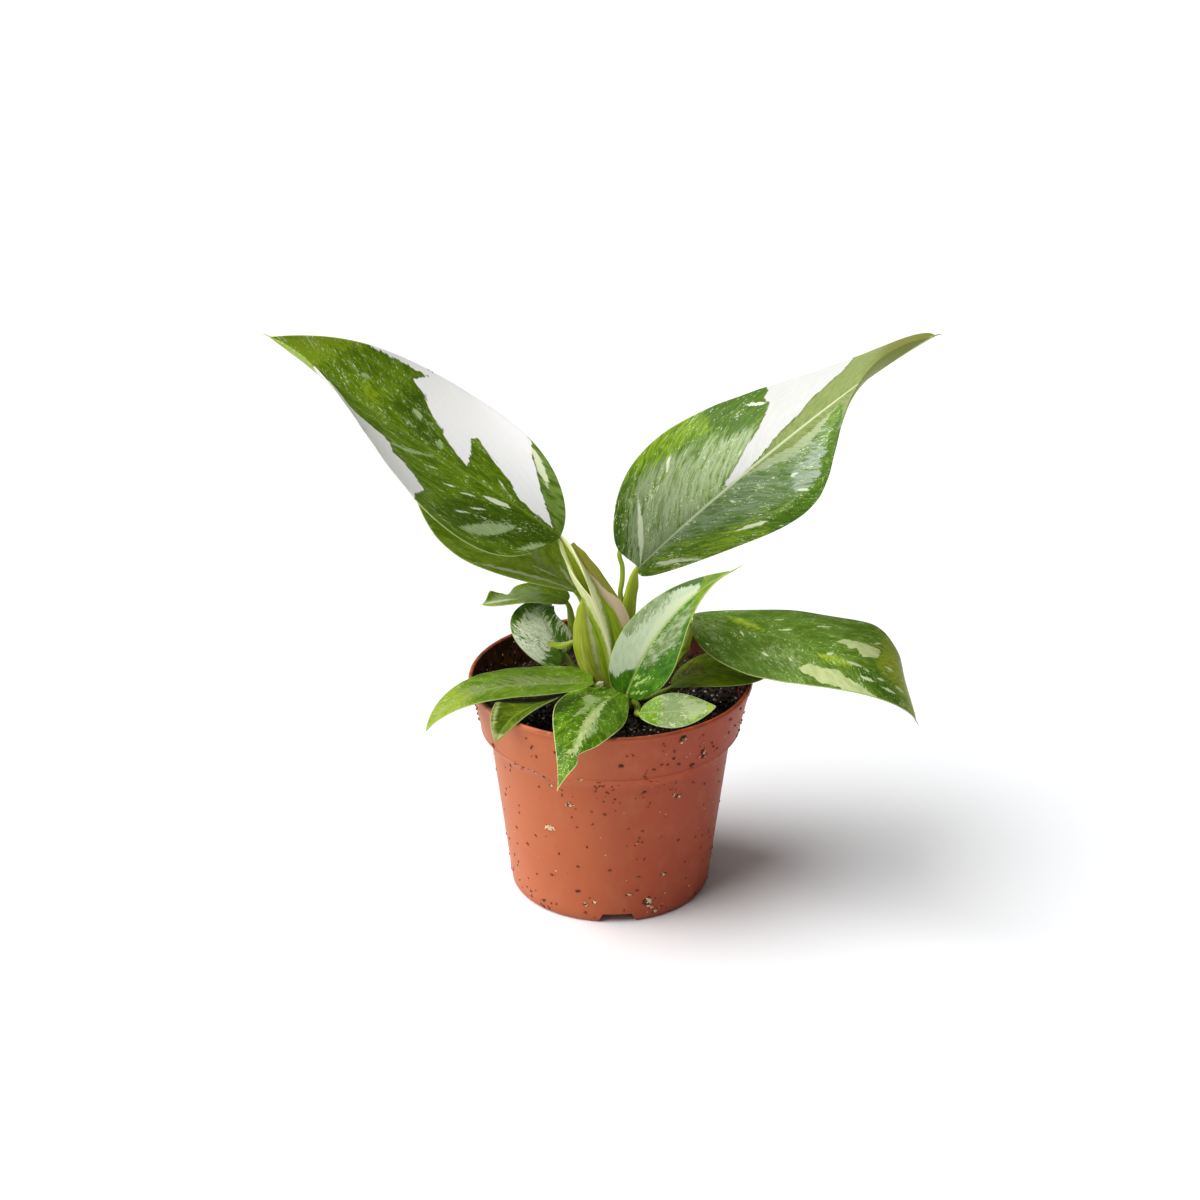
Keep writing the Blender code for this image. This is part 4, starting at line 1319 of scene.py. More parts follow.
def wall_radius(height):
    """The pot's outer radius at a height."""
    if height >= BAND_BOTTOM:
        share = (height - BAND_BOTTOM) / (POT_HEIGHT - BAND_BOTTOM)
        return BAND_BOTTOM_RADIUS + share * (RIM_RADIUS - BAND_BOTTOM_RADIUS)
    if height >= NECK_HEIGHT:
        share = (height - NECK_HEIGHT) / (BAND_BOTTOM - NECK_HEIGHT)
        return NECK_RADIUS + (BAND_BOTTOM_RADIUS - NECK_RADIUS) * share**2
    return FOOT_RADIUS + (NECK_RADIUS - FOOT_RADIUS) * height / NECK_HEIGHT


def inner_radius(height):
    """The pot's inner radius at a height."""
    return wall_radius(height) - WALL


def turned(name, profile, steps):
    """A body turned about the Z axis from (radius, height) points, down its outside from the axis."""
    mesh = bpy.data.meshes.new(name)
    points = [(radius * MM, 0, height * MM) for radius, height in profile]
    mesh.from_pydata(points, [(i, i + 1) for i in range(len(points) - 1)], [])
    made = in_scene(name, mesh)
    screw = made.modifiers.new("turn", "SCREW")
    screw.axis = "Z"
    screw.steps = steps
    screw.render_steps = steps
    screw.use_merge_vertices = True
    screw.merge_threshold = 0.00001
    screw.use_smooth_shade = True
    return made


def pot_profile():
    """The pot's section: up the inside from the floor's middle, over the lip, and down the outside."""
    ring_inner = FOOT_RADIUS - FOOT_RING_WIDTH
    profile = [(0, FLOOR_TOP), (20, FLOOR_TOP), (FOOT_RADIUS - WALL - 2.5, FLOOR_TOP)]
    profile += [(FOOT_RADIUS - WALL - 0.9, FLOOR_TOP + 0.5), (inner_radius(FLOOR_TOP + 1.8), FLOOR_TOP + 1.8)]
    for height in (20, 40, NECK_HEIGHT, 63, 64.5, 66, 67.2, BAND_BOTTOM + 1, 78, POT_HEIGHT - 1.2):
        profile.append((inner_radius(height), height))
    lip_radius, lip_height = RIM_RADIUS - LIP_ROUNDING, POT_HEIGHT - LIP_ROUNDING
    for turn in np.radians([180, 150, 120, 90, 60, 30, 0]):
        out, up = LIP_ROUNDING * math.cos(turn), LIP_ROUNDING * math.sin(turn)
        profile.append((lip_radius + out, lip_height + up))
    profile += [(RIM_RADIUS, POT_HEIGHT - 1.7), (RIM_RADIUS - 0.12, POT_HEIGHT - 2.0)]
    profile += [(wall_radius(POT_HEIGHT - 2.3) - 0.3, POT_HEIGHT - 2.2)]
    for height in (POT_HEIGHT - 3.0, 78, BAND_BOTTOM + 1.4, BAND_BOTTOM + 0.9):
        profile.append((wall_radius(height) - 0.2, height))
    for out, up in ((0.1, 0.6), (0.1, 0.15), (-0.1, -0.05), (-0.6, -0.15)):
        profile.append((BAND_BOTTOM_RADIUS + out, BAND_BOTTOM + up))
    for height in (66.6, 65.5, 64, 62.6, NECK_HEIGHT, NECK_HEIGHT - 1, 45, 25, 10, 2.0, 1.2):
        profile.append((wall_radius(height), height))
    profile += [(FOOT_RADIUS - 0.35, 0.5), (FOOT_RADIUS - 0.8, 0.12), (FOOT_RADIUS - 1.3, 0)]
    profile += [(ring_inner + 0.2, 0), (ring_inner, 0.2), (ring_inner - 0.4, FLOOR_HEIGHT)]
    profile += [(CENTRE_FOOT_RADIUS + 0.6, FLOOR_HEIGHT)]
    profile += [(CENTRE_FOOT_RADIUS, 0.3), (CENTRE_FOOT_RADIUS - 0.3, 0), (CENTRE_FOOT_RADIUS - 1.2, 0)]
    profile += [(CENTRE_FOOT_RADIUS - 1.8, 0.8), (1.6, 0.8), (1.2, 0.3), (0, 0.3)]
    return profile


def cut(target, cutter):
    """Cuts one object from another."""
    boolean = target.modifiers.new(cutter.name, "BOOLEAN")
    boolean.operation = "DIFFERENCE"
    boolean.solver = "EXACT"
    boolean.object = cutter


def cutter_object(name, shape):
    """An object to cut with, from a bmesh."""
    mesh = bpy.data.meshes.new(name)
    shape.to_mesh(mesh)
    shape.free()
    return in_scene(name, mesh)


NOTCH_REACH = NOTCH_HEIGHT + 1.1  # the notch runs up into the floor's rounded edge

pot = turned("pot_turned", pot_profile(), POT_STEPS)
cutters = []
for i in range(NOTCH_COUNT):
    turn = NOTCH_TURN + 2 * math.pi * i / NOTCH_COUNT
    shape = bmesh.new()
    bmesh.ops.create_cube(shape, size=1)
    bmesh.ops.scale(shape, verts=shape.verts, vec=(NOTCH_DEPTH * MM, NOTCH_WIDTH * MM, 2 * NOTCH_REACH * MM))
    for corner in shape.verts:
        corner.co.y *= 0.85 if corner.co.z > 0 else 1.45
    bmesh.ops.translate(shape, verts=shape.verts, vec=((FOOT_RADIUS - 1) * MM, 0, 0))
    notch = cutter_object(f"notch_{i}", shape)
    notch.rotation_euler.z = turn
    cutters.append(notch)
for i in range(DRAIN_HOLE_COUNT):
    turn = NOTCH_TURN + 2 * math.pi * (i + 0.5) / DRAIN_HOLE_COUNT
    shape = bmesh.new()
    bmesh.ops.create_cone(
        shape, cap_ends=True, segments=40, radius1=DRAIN_HOLE_RADIUS * MM, radius2=DRAIN_HOLE_RADIUS * MM,
        depth=4 * FLOOR_THICKNESS * MM,
    )
    hole = cutter_object(f"drain_{i}", shape)
    hole.location = (
        DRAIN_HOLE_RING * MM * math.cos(turn), DRAIN_HOLE_RING * MM * math.sin(turn), FLOOR_HEIGHT * MM,
    )
    cutters.append(hole)
for cutter in cutters:
    cut(pot, cutter)
pot = evaluated(pot, "pot_moulding")
for cutter in cutters:
    bpy.data.objects.remove(cutter, do_unlink=True)


def inside_pot(points):
    """1 at points of the pot's inner face and underside, which are painted dark as soil stain and painted
    shade, and 0 at its outer face and lip.
    """
    found = []
    for x, y, z in points / MM:
        deep = wall_radius(z) - math.hypot(x, y) > 0.55 * WALL
        beneath = z < NOTCH_REACH + 0.1 and math.hypot(x, y) < FOOT_RADIUS - 1.6
        found.append(float(beneath or (deep and FLOOR_TOP - 0.1 < z < POT_HEIGHT - 0.6)))
    return np.array(found, np.float32)


def moulded_polypropylene(name):
    """Injection-moulded polypropylene, terracotta coloured: satin, dusty and rubbed, with painted light on
    its left side, painted shade on its right side and foot, and soil stain with painted shade on its inside
    and underside.
    """
    made, tree = start_material(name)
    place = add(tree, "ShaderNodeTexCoord").outputs["Object"]
    inside = add(tree, "ShaderNodeAttribute", attribute_name="inside").outputs["Fac"]
    height = add(tree, "ShaderNodeSeparateXYZ", {0: place}).outputs[2]
    cloud = grain(tree, place, metres(30, 30, 30), 3.0)
    dust = grain(tree, place, metres(6, 6, 9), 4.0, 3.0)
    smear = grain(tree, place, metres(12, 12, 20), 6.0, 9.0, 0.65)
    soiling = grain(tree, place, metres(3.5, 3.5, 6), 6.0, 5.0, 0.65)
    stipple = grain(tree, place, metres(0.6, 0.6, 0.6), 2.0, 7.0)
    sideways = add(tree, "ShaderNodeSeparateXYZ", {0: place}).outputs[0]
    # Painted light and shade: the left side, which faces the key light, is painted lighter and the right side
    # darker, with a cloudy border between them.
    painted_light_side = add(
        tree, "ShaderNodeMath", {0: cloud, 1: 30 * MM, 2: sideways}, operation="MULTIPLY_ADD",
    ).outputs[0]
    colour = mixed(tree, ramped(tree, painted_light_side, 55 * MM, -35 * MM), "#A23F1D", "#BF683C")
    haze = add(tree, "ShaderNodeMath", {0: ramped(tree, dust, 0.45, 0.8), 1: 0.22}, operation="MULTIPLY")
    colour = mixed(tree, haze.outputs[0], colour, "#BC7850")
    rubbed = add(tree, "ShaderNodeMath", {0: ramped(tree, smear, 0.66, 0.74), 1: 0.3}, operation="MULTIPLY")
    colour = mixed(tree, rubbed.outputs[0], colour, "#D0A58C")
    # Painted shade: the colour turns darker brown towards the ground over the lowest 6 mm of the pot.
    foot = add(tree, "ShaderNodeMath", {0: ramped(tree, height, 6 * MM, 0.0), 1: 0.3}, operation="MULTIPLY")
    colour = mixed(tree, foot.outputs[0], colour, "#7A4630")
    # Soil stain and painted shade: the inner face and the underside are painted dark brown, at least six
    # tenths of the way and more where the soiling noise is high.
    stain_and_shade_share = add(
        tree, "ShaderNodeMath", {0: ramped(tree, soiling, 0.3, 0.6), 1: 0.35, 2: 0.6},
        operation="MULTIPLY_ADD",
    )
    stained_and_shaded = add(tree, "ShaderNodeMath", {0: stain_and_shade_share.outputs[0], 1: inside}, operation="MULTIPLY")
    colour = mixed(tree, stained_and_shaded.outputs[0], colour, "#3A1F14")
    near_lip = ramped(tree, height, (POT_HEIGHT - 1.4) * MM, (POT_HEIGHT - 0.4) * MM)
    lip_dust = add(
        tree, "ShaderNodeMath", {0: near_lip, 1: ramped(tree, soiling, 0.4, 0.6)}, operation="MULTIPLY",
    ).outputs[0]
    lip_dust = add(tree, "ShaderNodeMath", {0: lip_dust, 1: 0.55}, operation="MULTIPLY").outputs[0]
    colour = mixed(tree, lip_dust, colour, "#5A3020")
    rough = add(tree, "ShaderNodeMapRange", {"Value": dust, "To Min": 0.38, "To Max": 0.56}).outputs[0]
    bumps = add(tree, "ShaderNodeBump", {"Height": stipple, "Strength": 0.2, "Distance": 0.05 * MM})
    shader = add(tree, "ShaderNodeBsdfPrincipled", {
        "Base Color": colour, "Roughness": rough, "IOR": 1.49, "Normal": bumps.outputs[0],
        "Specular IOR Level": 0.3,
    })
    add(tree, "ShaderNodeOutputMaterial", {"Surface": shader.outputs[0]})
    return made


corners = np.empty(len(pot.data.vertices) * 3, np.float32)
pot.data.vertices.foreach_get("co", corners)
# Marks where the material paints soil stain and painted shade.
stain_and_shade_layer = pot.data.attributes.new("inside", "FLOAT", "POINT")
stain_and_shade_layer.data.foreach_set("value", inside_pot(corners.reshape(-1, 3)))
pot.data.set_sharp_from_angle(angle=math.radians(38))
finish_piece(pot, moulded_polypropylene("injection_moulded_polypropylene"), "pot", "pot")


# ---------------------------------------------------------------- scattered grains
def grain_tree():
    """Geometry Nodes: scatters ragged grains over a surface, where its "bed" attribute allows them."""
    tree = bpy.data.node_groups.new("grains", "GeometryNodeTree")
    face = tree.interface
    face.new_socket("Surface", in_out="INPUT", socket_type="NodeSocketGeometry")
    for title, kind, value in (
        ("Grains per square metre", "NodeSocketFloat", 10000.0),
        ("Smallest", "NodeSocketFloat", 0.0003),
        ("Largest", "NodeSocketFloat", 0.001),
        ("Length", "NodeSocketFloat", 1.0),
        ("Height", "NodeSocketFloat", 1.0),
        ("Raggedness", "NodeSocketFloat", 0.3),
        ("Subdivisions", "NodeSocketInt", 2),
        ("Seed", "NodeSocketInt", 1),
        ("Finish", "NodeSocketMaterial", None),
    ):
        socket = face.new_socket(title, in_out="INPUT", socket_type=kind)
        if value is not None:
            socket.default_value = value
    face.new_socket("Grains", in_out="OUTPUT", socket_type="NodeSocketGeometry")
    given = add(tree, "NodeGroupInput").outputs
    bed = add(tree, "GeometryNodeInputNamedAttribute", {"Name": "bed"}, data_type="FLOAT").outputs[0]
    density = add(
        tree, "ShaderNodeMath", {0: bed, 1: given["Grains per square metre"]}, operation="MULTIPLY",
    ).outputs[0]
    points = add(tree, "GeometryNodeDistributePointsOnFaces", {
        "Mesh": given["Surface"], "Density": density, "Seed": given["Seed"],
    })
    pebble = add(tree, "GeometryNodeMeshIcoSphere", {
        "Radius": 0.5, "Subdivisions": given["Subdivisions"],
    }).outputs[0]
    spin = add(tree, "FunctionNodeRandomValue", {
        "Min": 0.0, "Max": math.tau, "Seed": given["Seed"],
    }, data_type="FLOAT")
    turn = add(tree, "ShaderNodeCombineXYZ", {"Z": spin.outputs[1]})
    turned_by = add(tree, "FunctionNodeRotateRotation", {
        "Rotation": points.outputs["Rotation"], "Rotate By": turn.outputs[0],
    }, rotation_space="LOCAL")
    size = add(tree, "FunctionNodeRandomValue", {
        "Min": given["Smallest"], "Max": given["Largest"], "Seed": given["Seed"],
    }, data_type="FLOAT").outputs[1]
    long_side = add(tree, "ShaderNodeMath", {0: size, 1: given["Length"]}, operation="MULTIPLY").outputs[0]
    tall = add(tree, "ShaderNodeMath", {0: size, 1: given["Height"]}, operation="MULTIPLY").outputs[0]
    scale = add(tree, "ShaderNodeCombineXYZ", {"X": long_side, "Y": size, "Z": tall}).outputs[0]
    placed = add(tree, "GeometryNodeInstanceOnPoints", {
        "Points": points.outputs["Points"], "Instance": pebble, "Rotation": turned_by.outputs[0],
        "Scale": scale,
    }).outputs[0]
    real = add(tree, "GeometryNodeRealizeInstances", {"Geometry": placed}).outputs[0]
    where = add(tree, "GeometryNodeInputPosition").outputs[0]
    fineness = add(tree, "ShaderNodeMath", {0: 1.6, 1: given["Largest"]}, operation="DIVIDE").outputs[0]
    rough = add(tree, "ShaderNodeTexNoise", {
        "Vector": where, "Scale": fineness, "Detail": 1.0,
    }).outputs["Color"]
    centred = add(
        tree, "ShaderNodeVectorMath", {0: rough, 1: (0.5, 0.5, 0.5)}, operation="SUBTRACT",
    ).outputs[0]
    reach = add(
        tree, "ShaderNodeMath", {0: given["Raggedness"], 1: given["Largest"]}, operation="MULTIPLY",
    ).outputs[0]
    shift = add(tree, "ShaderNodeVectorMath", {0: centred, "Scale": reach}, operation="SCALE").outputs[0]
    ragged = add(tree, "GeometryNodeSetPosition", {"Geometry": real, "Offset": shift}).outputs[0]
    finished = add(tree, "GeometryNodeSetMaterial", {
        "Geometry": ragged, "Material": given["Finish"],
    }).outputs[0]
    add(tree, "NodeGroupOutput", {0: finished})
    return tree


GRAINS = grain_tree()


def scattered(name, surface, finish, slot, inputs):
    """Grains over a (points, faces, bed) surface as one plain mesh piece. inputs are the tree's, by name."""
    points, faces, bed = surface
    host = mesh_object(name + "_host", points, faces, {"bed": bed})
    host.data.materials.append(finish)
    modifier = host.modifiers.new("grains", "NODES")
    modifier.node_group = GRAINS
    ids = {item.name: item.identifier for item in GRAINS.interface.items_tree if item.in_out == "INPUT"}
    for title, value in {**inputs, "Finish": finish}.items():
        modifier[ids[title]] = value
    piece = evaluated(host, name)
    piece.data.shade_smooth()
    finish_piece(piece, finish, slot)


def grain_inputs(density, smallest, largest, length, height, raggedness, subdivisions, seed):
    """The inputs for scattered, with sizes in millimetres and density in grains per square centimetre.

    length and height are shares of a grain's size, and raggedness is one of its largest size.
    """
    return {
        "Grains per square metre": density * 1e4, "Smallest": smallest * MM, "Largest": largest * MM,
        "Length": length, "Height": height, "Raggedness": raggedness, "Subdivisions": subdivisions,
        "Seed": seed,
    }


def surface_of_turning(profile, steps, bed):
    """A sheet turned about the Z axis from (radius, height) points, with bed(x, y, z) at each point."""
    turn = np.linspace(0, 2 * np.pi, steps, endpoint=False)
    profile = np.array(profile, float)
    points = np.stack([
        profile[:, None, 0] * np.cos(turn), profile[:, None, 0] * np.sin(turn),
        np.broadcast_to(profile[:, None, 1], (len(profile), steps)),
    ], -1).reshape(-1, 3)
    _, faces = ring_faces(len(profile), steps)
    return points, faces, np.array([bed(*point) for point in points])


# ---------------------------------------------------------------- the potting mix
def soil_height(x, y):
    """The potting mix's surface: level, a little higher round the crown, and crumbly."""
    away = math.hypot(x, y)
    rise = 0.8 * math.exp(-((away - CROWN_RADIUS) / 9) ** 2) - 0.6 * max(0.0, (away - 40) / 12)
    coarse = noise.noise((x / 7, y / 7, 0.5)) * 1.1
    fine = noise.noise((x / 2.1, y / 2.1, 3.5)) * 0.8
    return SOIL_TOP + rise + coarse + fine


SOIL_STEPS = 180
SOIL_RINGS = 56


def soil_part():
    """The potting mix as a closed body that fills the pot."""
    top_radius = inner_radius(SOIL_TOP) - 0.15
    turn = np.linspace(0, 2 * np.pi, SOIL_STEPS, endpoint=False)
    rings = []
    for radius in np.linspace(1.0, top_radius, SOIL_RINGS):
        ring = [(radius * math.cos(a), radius * math.sin(a)) for a in turn]
        rings.append([(x, y, soil_height(x, y)) for x, y in ring])
    for height in (72, 66, 64, NECK_HEIGHT, 40, FLOOR_TOP + 2.2):
        radius = inner_radius(height) - 0.3
        rings.append([(radius * math.cos(a), radius * math.sin(a), height) for a in turn])
    floor_radius = FOOT_RADIUS - WALL - 3.2
    rings.append([(floor_radius * math.cos(a), floor_radius * math.sin(a), FLOOR_TOP + 0.3) for a in turn])
    points = [point for ring in rings for point in ring]
    index, faces = ring_faces(len(rings), SOIL_STEPS, flip=True)
    faces.append(index[0].tolist())
    faces.append(index[-1][::-1].tolist())
    return points, faces


def peat(name, dark, brown, crumb_size, roughness=0.85):
    """Peat and bark: nearly black, crumbly and dull, with browner crumbs, crumb_size millimetres across."""
    made, tree = start_material(name)
    place = add(tree, "ShaderNodeTexCoord").outputs["Object"]
    crumb = grain(tree, place, metres(crumb_size, crumb_size, crumb_size), 4.0)
    spread = grain(tree, place, (crumb_size * 5 * MM,) * 3, 2.0, 5.0)
    colour = mixed(tree, ramped(tree, crumb, 0.4, 0.68), dark, brown)
    colour = mixed(tree, ramped(tree, spread, 0.62, 0.8), colour, brown)
    bumps = add(tree, "ShaderNodeBump", {"Height": crumb, "Strength": 0.9, "Distance": 0.4 * MM})
    shader = add(tree, "ShaderNodeBsdfPrincipled", {
        "Base Color": colour, "Roughness": roughness, "IOR": 1.4, "Normal": bumps.outputs[0],
    })
    add(tree, "ShaderNodeOutputMaterial", {"Surface": shader.outputs[0]})
    return made


def expanded_perlite(name, dark, light):
    """Expanded perlite: off-white, chalky and pitted."""
    made, tree = start_material(name)
    place = add(tree, "ShaderNodeTexCoord").outputs["Object"]
    pits = grain(tree, place, metres(0.4, 0.4, 0.4), 3.0)
    colour = mixed(tree, ramped(tree, pits, 0.3, 0.6), dark, light)
    bumps = add(tree, "ShaderNodeBump", {"Height": pits, "Strength": 0.8, "Distance": 0.2 * MM})
    shader = add(tree, "ShaderNodeBsdfPrincipled", {
        "Base Color": colour, "Roughness": 0.9, "IOR": 1.5, "Normal": bumps.outputs[0],
    })
    add(tree, "ShaderNodeOutputMaterial", {"Surface": shader.outputs[0]})
    return made


PEAT = peat("moist_peat", "#16110C", "#34261A", 0.9)
BARK = peat("composted_bark", "#2A1D13", "#6A4E36", 1.2)
DIRT = peat("dried_dirt", "#561A0A", "#A4532C", 0.5, 0.6)
CLOD = peat("clotted_peat", "#2C120A", "#84482A", 0.6, 0.6)
PERLITE = expanded_perlite("expanded_perlite", "#A39A86", "#DCD7C8")
PALE_GRIT = expanded_perlite("soiled_perlite", "#B67C4E", "#F4DCB2")

soil = mesh_object("potting_mix", *soil_part())
finish_piece(soil, PEAT, "potting_mix", "soil")


def soil_sheet():
    """The top of the potting mix as a sheet for grains to lie on all over."""
    radii = np.linspace(CROWN_RADIUS + 0.5, inner_radius(SOIL_TOP) - 1.5, 20)
    points, faces, beds = surface_of_turning([(r, SOIL_TOP) for r in radii], 72, lambda x, y, z: 1.0)
    points[:, 2] = [soil_height(x, y) + 0.1 for x, y, _ in points]
    return points, faces, beds


# ---------------------------------------------------------------- loose grains and dirt on the pot
def dirt_bed(x, y, z):
    """Where dirt clings to the pot: in clusters, along the band's crease and at the foot."""
    cluster = max(0.0, noise.noise((x / 11, y / 11, z / 8)) + 0.08) ** 1.5
    crease = math.exp(-((z - BAND_BOTTOM + 1) / 3.5) ** 2)
    foot = math.exp(-(z / 12) ** 2)
    return cluster * (0.5 + 1.3 * crease + 1.6 * foot) + 0.03


def lining_bed(x, y, z):
    """Where potting mix clings to the pot's inner wall: most of it just above the soil."""
    return 0.15 + math.exp(-(z - SOIL_TOP) / 3)


SHEET_STEPS = 180

outside = [(wall_radius(z) + 0.02, z) for z in np.linspace(1.5, POT_HEIGHT - 1.5, 80)]
dirt_sheet = surface_of_turning(outside, SHEET_STEPS, dirt_bed)
lining = [(inner_radius(z) - 0.02, z) for z in np.linspace(SOIL_TOP + 0.5, POT_HEIGHT - 1.8, 12)]
lining_sheet = surface_of_turning(lining, SHEET_STEPS, lining_bed)
bed_sheet = soil_sheet()

# The loose grains: name, sheet that they lie on, finish, slot, and their sizes as grain_inputs takes them.
LOOSE_GRAINS = (
    ("peat_crumbs", bed_sheet, PEAT, "potting_mix", (18, 0.7, 2.3, 1.2, 0.8, 0.5, 2, 3)),
    ("bark_chips", bed_sheet, BARK, "potting_mix", (9, 0.7, 2.2, 2.2, 0.5, 0.6, 2, 5)),
    ("perlite_grains", bed_sheet, PERLITE, "potting_mix", (3, 0.5, 1.7, 1.1, 0.8, 0.5, 2, 8)),
    ("perlite_dust", bed_sheet, PERLITE, "potting_mix", (16, 0.2, 0.6, 1.1, 0.8, 0.5, 1, 9)),
    ("dirt_specks", dirt_sheet, DIRT, "pot", (24, 0.25, 1.1, 1.5, 0.5, 0.6, 2, 11)),
    ("perlite_specks", dirt_sheet, PALE_GRIT, "pot", (7, 0.15, 0.6, 1.3, 0.6, 0.5, 1, 13)),
    ("lining_crumbs", lining_sheet, PEAT, "pot", (36, 0.3, 1.6, 1.3, 0.7, 0.6, 2, 17)),
    ("lining_perlite", lining_sheet, PERLITE, "pot", (9, 0.2, 0.8, 1.2, 0.7, 0.5, 2, 19)),
)
for title, sheet, finish, slot, sizes in LOOSE_GRAINS:
    scattered(title, sheet, finish, slot, grain_inputs(*sizes))

# Clumps stuck to the pot: (turn in degrees, height, length, width, how many crumbs in ten are pale).
CLUMPS = (
    (-56, 55, 2.6, 1.6, 1), (-58.6, 56.2, 1.2, 0.9, 6), (-61, 20, 2.2, 1.5, 4), (-60, 84, 3.0, 2.2, 1),
    (-48, 74, 2.2, 1.8, 1), (-53, 69.5, 2.4, 1.4, 1), (-86, 75, 1.6, 1.3, 0), (-125, 66.5, 1.6, 1.2, 1),
    (-99, 9.5, 1.8, 1.3, 5), (-69, 8.5, 3.0, 4.6, 3), (-67, 5.8, 2.2, 1.8, 6), (-47, 71.6, 1.8, 1.2, 2),
    (-136, 67, 1.6, 1.0, 1), (-122, 64.6, 1.6, 1.0, 1), (-110, 54, 3.4, 1.6, 6), (-122, 41, 4.6, 2.6, 8),
    (-103, 68, 1.8, 1.1, 7), (-64, 3.2, 1.7, 1.2, 9), (-119, 61, 1.4, 1.0, 6), (-61, 82.4, 1.2, 0.8, 7),
    (-104, 8.0, 2.2, 1.6, 5), (-80, 13, 3.4, 1.0, 3), (-108, 14, 2.0, 1.0, 1), (-50, 72.4, 1.0, 0.8, 6),
)


def clump(turn, height, length, width, pale):
    """The crumbs of one clump: whether each is pale, and its turn, height, length and width."""
    count = 4 + int(3 * length)
    for i in range(count):
        away = math.sqrt((i + 0.5) / count)
        along = length / 2 * away * math.cos(2.4 * i)
        rise = width / 2 * away * math.sin(2.4 * i)
        size = (0.34 + 0.3 * width) * (1.1 - 0.7 * away) * (1 + 0.5 * math.sin(5.1 * i + turn))
        crumb_turn = turn + math.degrees(along / wall_radius(height))
        yield i * 7 % 10 < pale, (crumb_turn, height + rise, size * 1.5, size)


def crumb_part(turn, height, length, width):
    """A lumpy crumb pressed on the pot's wall: (points, faces, attributes)."""
    points, faces = ball(2)
    lumps = [1 + 0.9 * noise.noise(Vector(point) * 1.7 + Vector((turn, height, 0))) for point in points]
    points = points * np.array(lumps)[:, None] * (0.3 * width, 0.5 * length, 0.5 * width)
    angle = math.radians(turn)
    out = np.array([math.cos(angle), math.sin(angle), 0])
    points = points[:, :1] * out + points[:, 1:2] * np.array([-out[1], out[0], 0]) + points[:, 2:] * (0, 0, 1)
    return points + out * (wall_radius(height) + 0.1 * width) + (0, 0, height), faces, {}


crumbs = [crumb for place in CLUMPS for crumb in clump(*place)]
for title, finish, wanted in (("stuck_dirt", CLOD, False), ("stuck_perlite", PALE_GRIT, True)):
    points, faces, _ = joined([crumb_part(*crumb) for pale, crumb in crumbs if pale == wanted])
    finish_piece(mesh_object(title, points, faces), finish, "pot")


# ---------------------------------------------------------------- the crown
CROWN_STEPS = 120
CROWN_PROFILE = (  # (height, radius)
    (CROWN_BOTTOM, 6.5), (65, 8.6), (70, 8.9), (76, 8.8), (80, 8.6), (82.5, 7.9), (84, 6.4), (CROWN_TOP, 4),
)


def crown_part():
    """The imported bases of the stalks: a lobed, rounded stem that stands in the potting mix."""
    turn = np.linspace(0, 2 * np.pi, CROWN_STEPS, endpoint=False)
    rings = []
    for height, radius in CROWN_PROFILE:
        reach = radius * (1 + 0.06 * np.cos(7 * turn + height * 0.12) + 0.03 * np.cos(4 * turn - 1))
        ring = [reach * np.cos(turn), reach * np.sin(turn), np.full(CROWN_STEPS, height)]
        rings.append(np.stack(ring, 1))
    points = np.concatenate(rings)
    index, faces = ring_faces(len(rings), CROWN_STEPS)
    faces.append(index[0][::-1].tolist())
    faces.append(index[-1].tolist())
    x, y, z = points.T
    stalk = np.stack([np.arctan2(y, x) * 9, z - CROWN_BOTTOM, (z - 70) / 60], 1)  # as around_stalk gives it
    return points, faces, {"stalk": stalk}


finish_piece(mesh_object("crown_stem", *crown_part()), SKINS["petiole"], "stalk", "crown")


def bud_part(centre, size):
    """A resting bud at the crown: a pale swelling with a dark scar on its front right."""
    points, faces = ball(4)
    from_scar = np.linalg.norm(points - unit(np.array([[0.5, -0.85, -0.1]])), axis=1)
    dent = 0.2 * np.exp(-((from_scar / 0.2) ** 2))
    lumps = np.array([1 + 0.3 * noise.noise(Vector(point) * 1.6) for point in points]) - dent
    turn = np.arctan2(points[:, 1], points[:, 0])
    attributes = {
        "stalk": np.stack([turn * 1.5, points[:, 2] * 2, np.ones(len(points))], 1),
        "lip": np.zeros(len(points)), "inside": np.exp(-((from_scar / 0.22) ** 4)),
    }
    return points * lumps[:, None] * size + centre, faces, attributes


BUD_PLACE = (-3.9, -9.2, 87.8)
finish_piece(mesh_object("crown_bud", *bud_part(BUD_PLACE, (1.9, 1.5, 1.7))), SKINS["bud"], "stalk")


# ---------------------------------------------------------------- floor and light
FLOOR_HALF = 30000.0  # its edge lies far outside every view

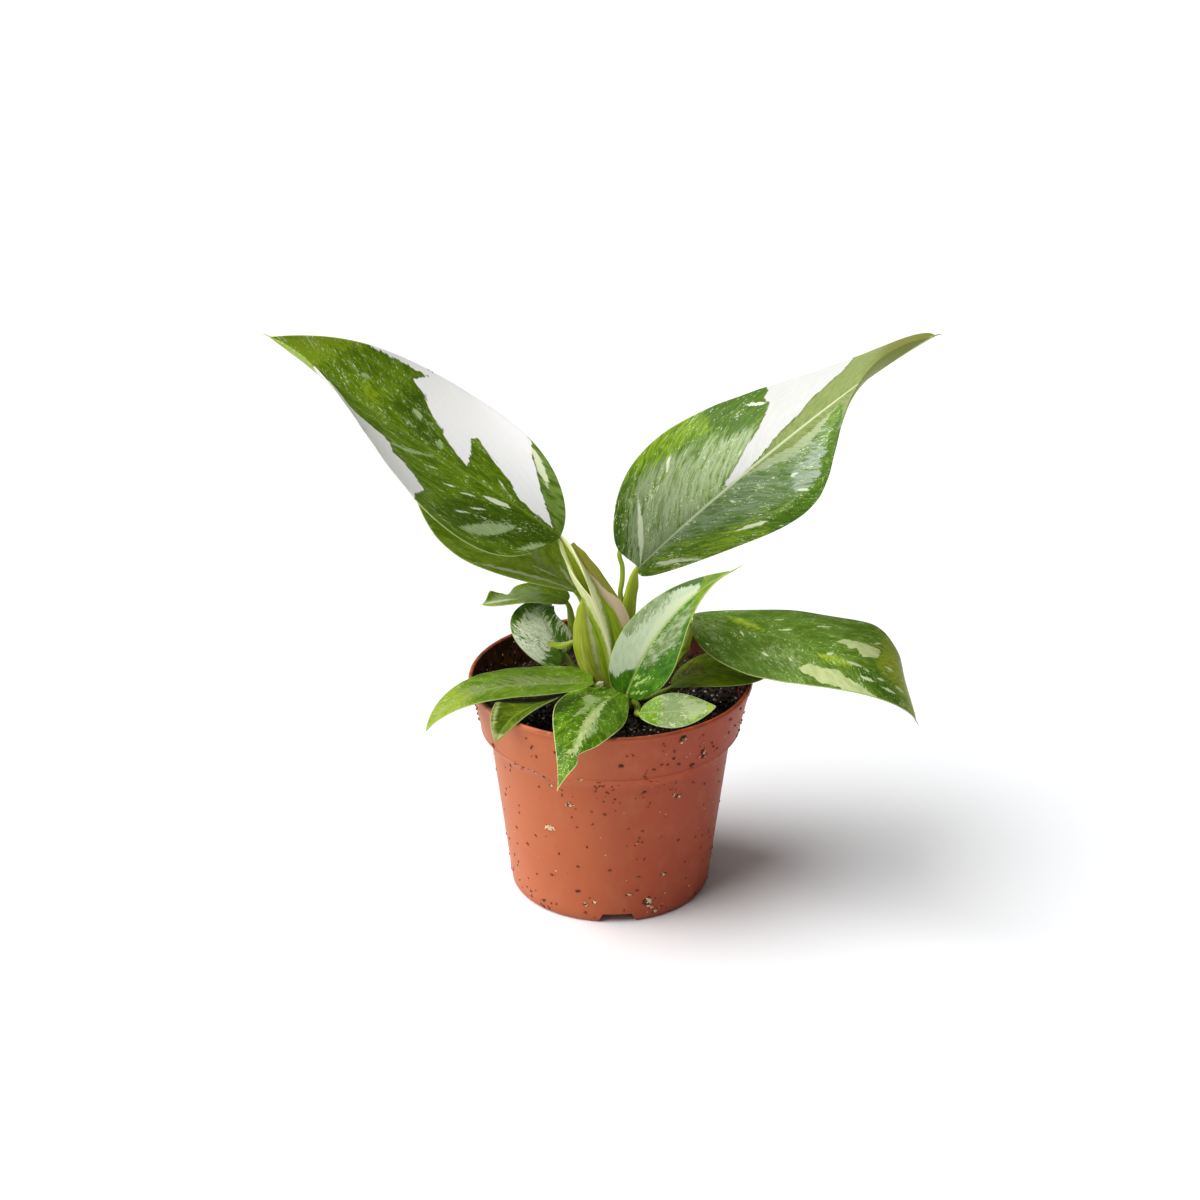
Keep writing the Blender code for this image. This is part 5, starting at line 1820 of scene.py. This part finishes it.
floor = mesh_object("studio_floor", [
    (-FLOOR_HALF, -FLOOR_HALF, 0), (FLOOR_HALF, -FLOOR_HALF, 0), (FLOOR_HALF, FLOOR_HALF, 0),
    (-FLOOR_HALF, FLOOR_HALF, 0),
], [(0, 1, 2, 3)])


def white_sweep(name):
    """Matt white studio paper."""
    made, tree = start_material(name)
    place = add(tree, "ShaderNodeTexCoord").outputs["Object"]
    colour = mixed(tree, grain(tree, place, metres(300, 300, 300)), "#F9F9F9", "#FBFBFB")
    shader = add(tree, "ShaderNodeBsdfPrincipled", {
        "Base Color": colour, "Roughness": 0.95, "Specular IOR Level": 0.1,
    })
    add(tree, "ShaderNodeOutputMaterial", {"Surface": shader.outputs[0]})
    return made


floor.data.materials.append(white_sweep("studio_paper"))

KEY_TURN = math.radians(78)  # the key light stands to the left, a little in front
KEY_RISE = math.radians(56)
KEY_STRENGTH = 3.85
KEY_WIDTH = math.radians(60)  # as wide as a large softbox close by
FILL_ALL_ROUND = 0.15
FILL_FROM_LEFT = 0.74  # what a pale wall on the left adds
KEY_FROM = Vector((-math.sin(KEY_TURN), -math.cos(KEY_TURN), math.tan(KEY_RISE)))
key_data = bpy.data.lights.new("key", "SUN")
key_data.energy = KEY_STRENGTH
key_data.angle = KEY_WIDTH
key = in_scene("key", key_data)
key.rotation_euler = KEY_FROM.to_track_quat("Z", "Y").to_euler()

world = bpy.data.worlds.new("studio")
bpy.context.scene.world = world
world.use_nodes = True
sky = world.node_tree
toward = add(sky, "ShaderNodeTexCoord").outputs["Generated"]
rightward = add(sky, "ShaderNodeSeparateXYZ", {0: toward}).outputs[0]
from_left = add(sky, "ShaderNodeMapRange", {
    "Value": rightward, "From Min": 0.1, "From Max": -1.0,
}).outputs[0]
squared = add(sky, "ShaderNodeMath", {0: from_left, 1: 2.0}, operation="POWER").outputs[0]
fill = add(
    sky, "ShaderNodeMath", {0: squared, 1: FILL_FROM_LEFT, 2: FILL_ALL_ROUND}, operation="MULTIPLY_ADD",
)
sky.nodes["Background"].inputs["Color"].default_value = linear("#F2F7FF")
sky.links.new(fill.outputs[0], sky.nodes["Background"].inputs["Strength"])
bpy.context.scene.view_settings.view_transform = "Standard"
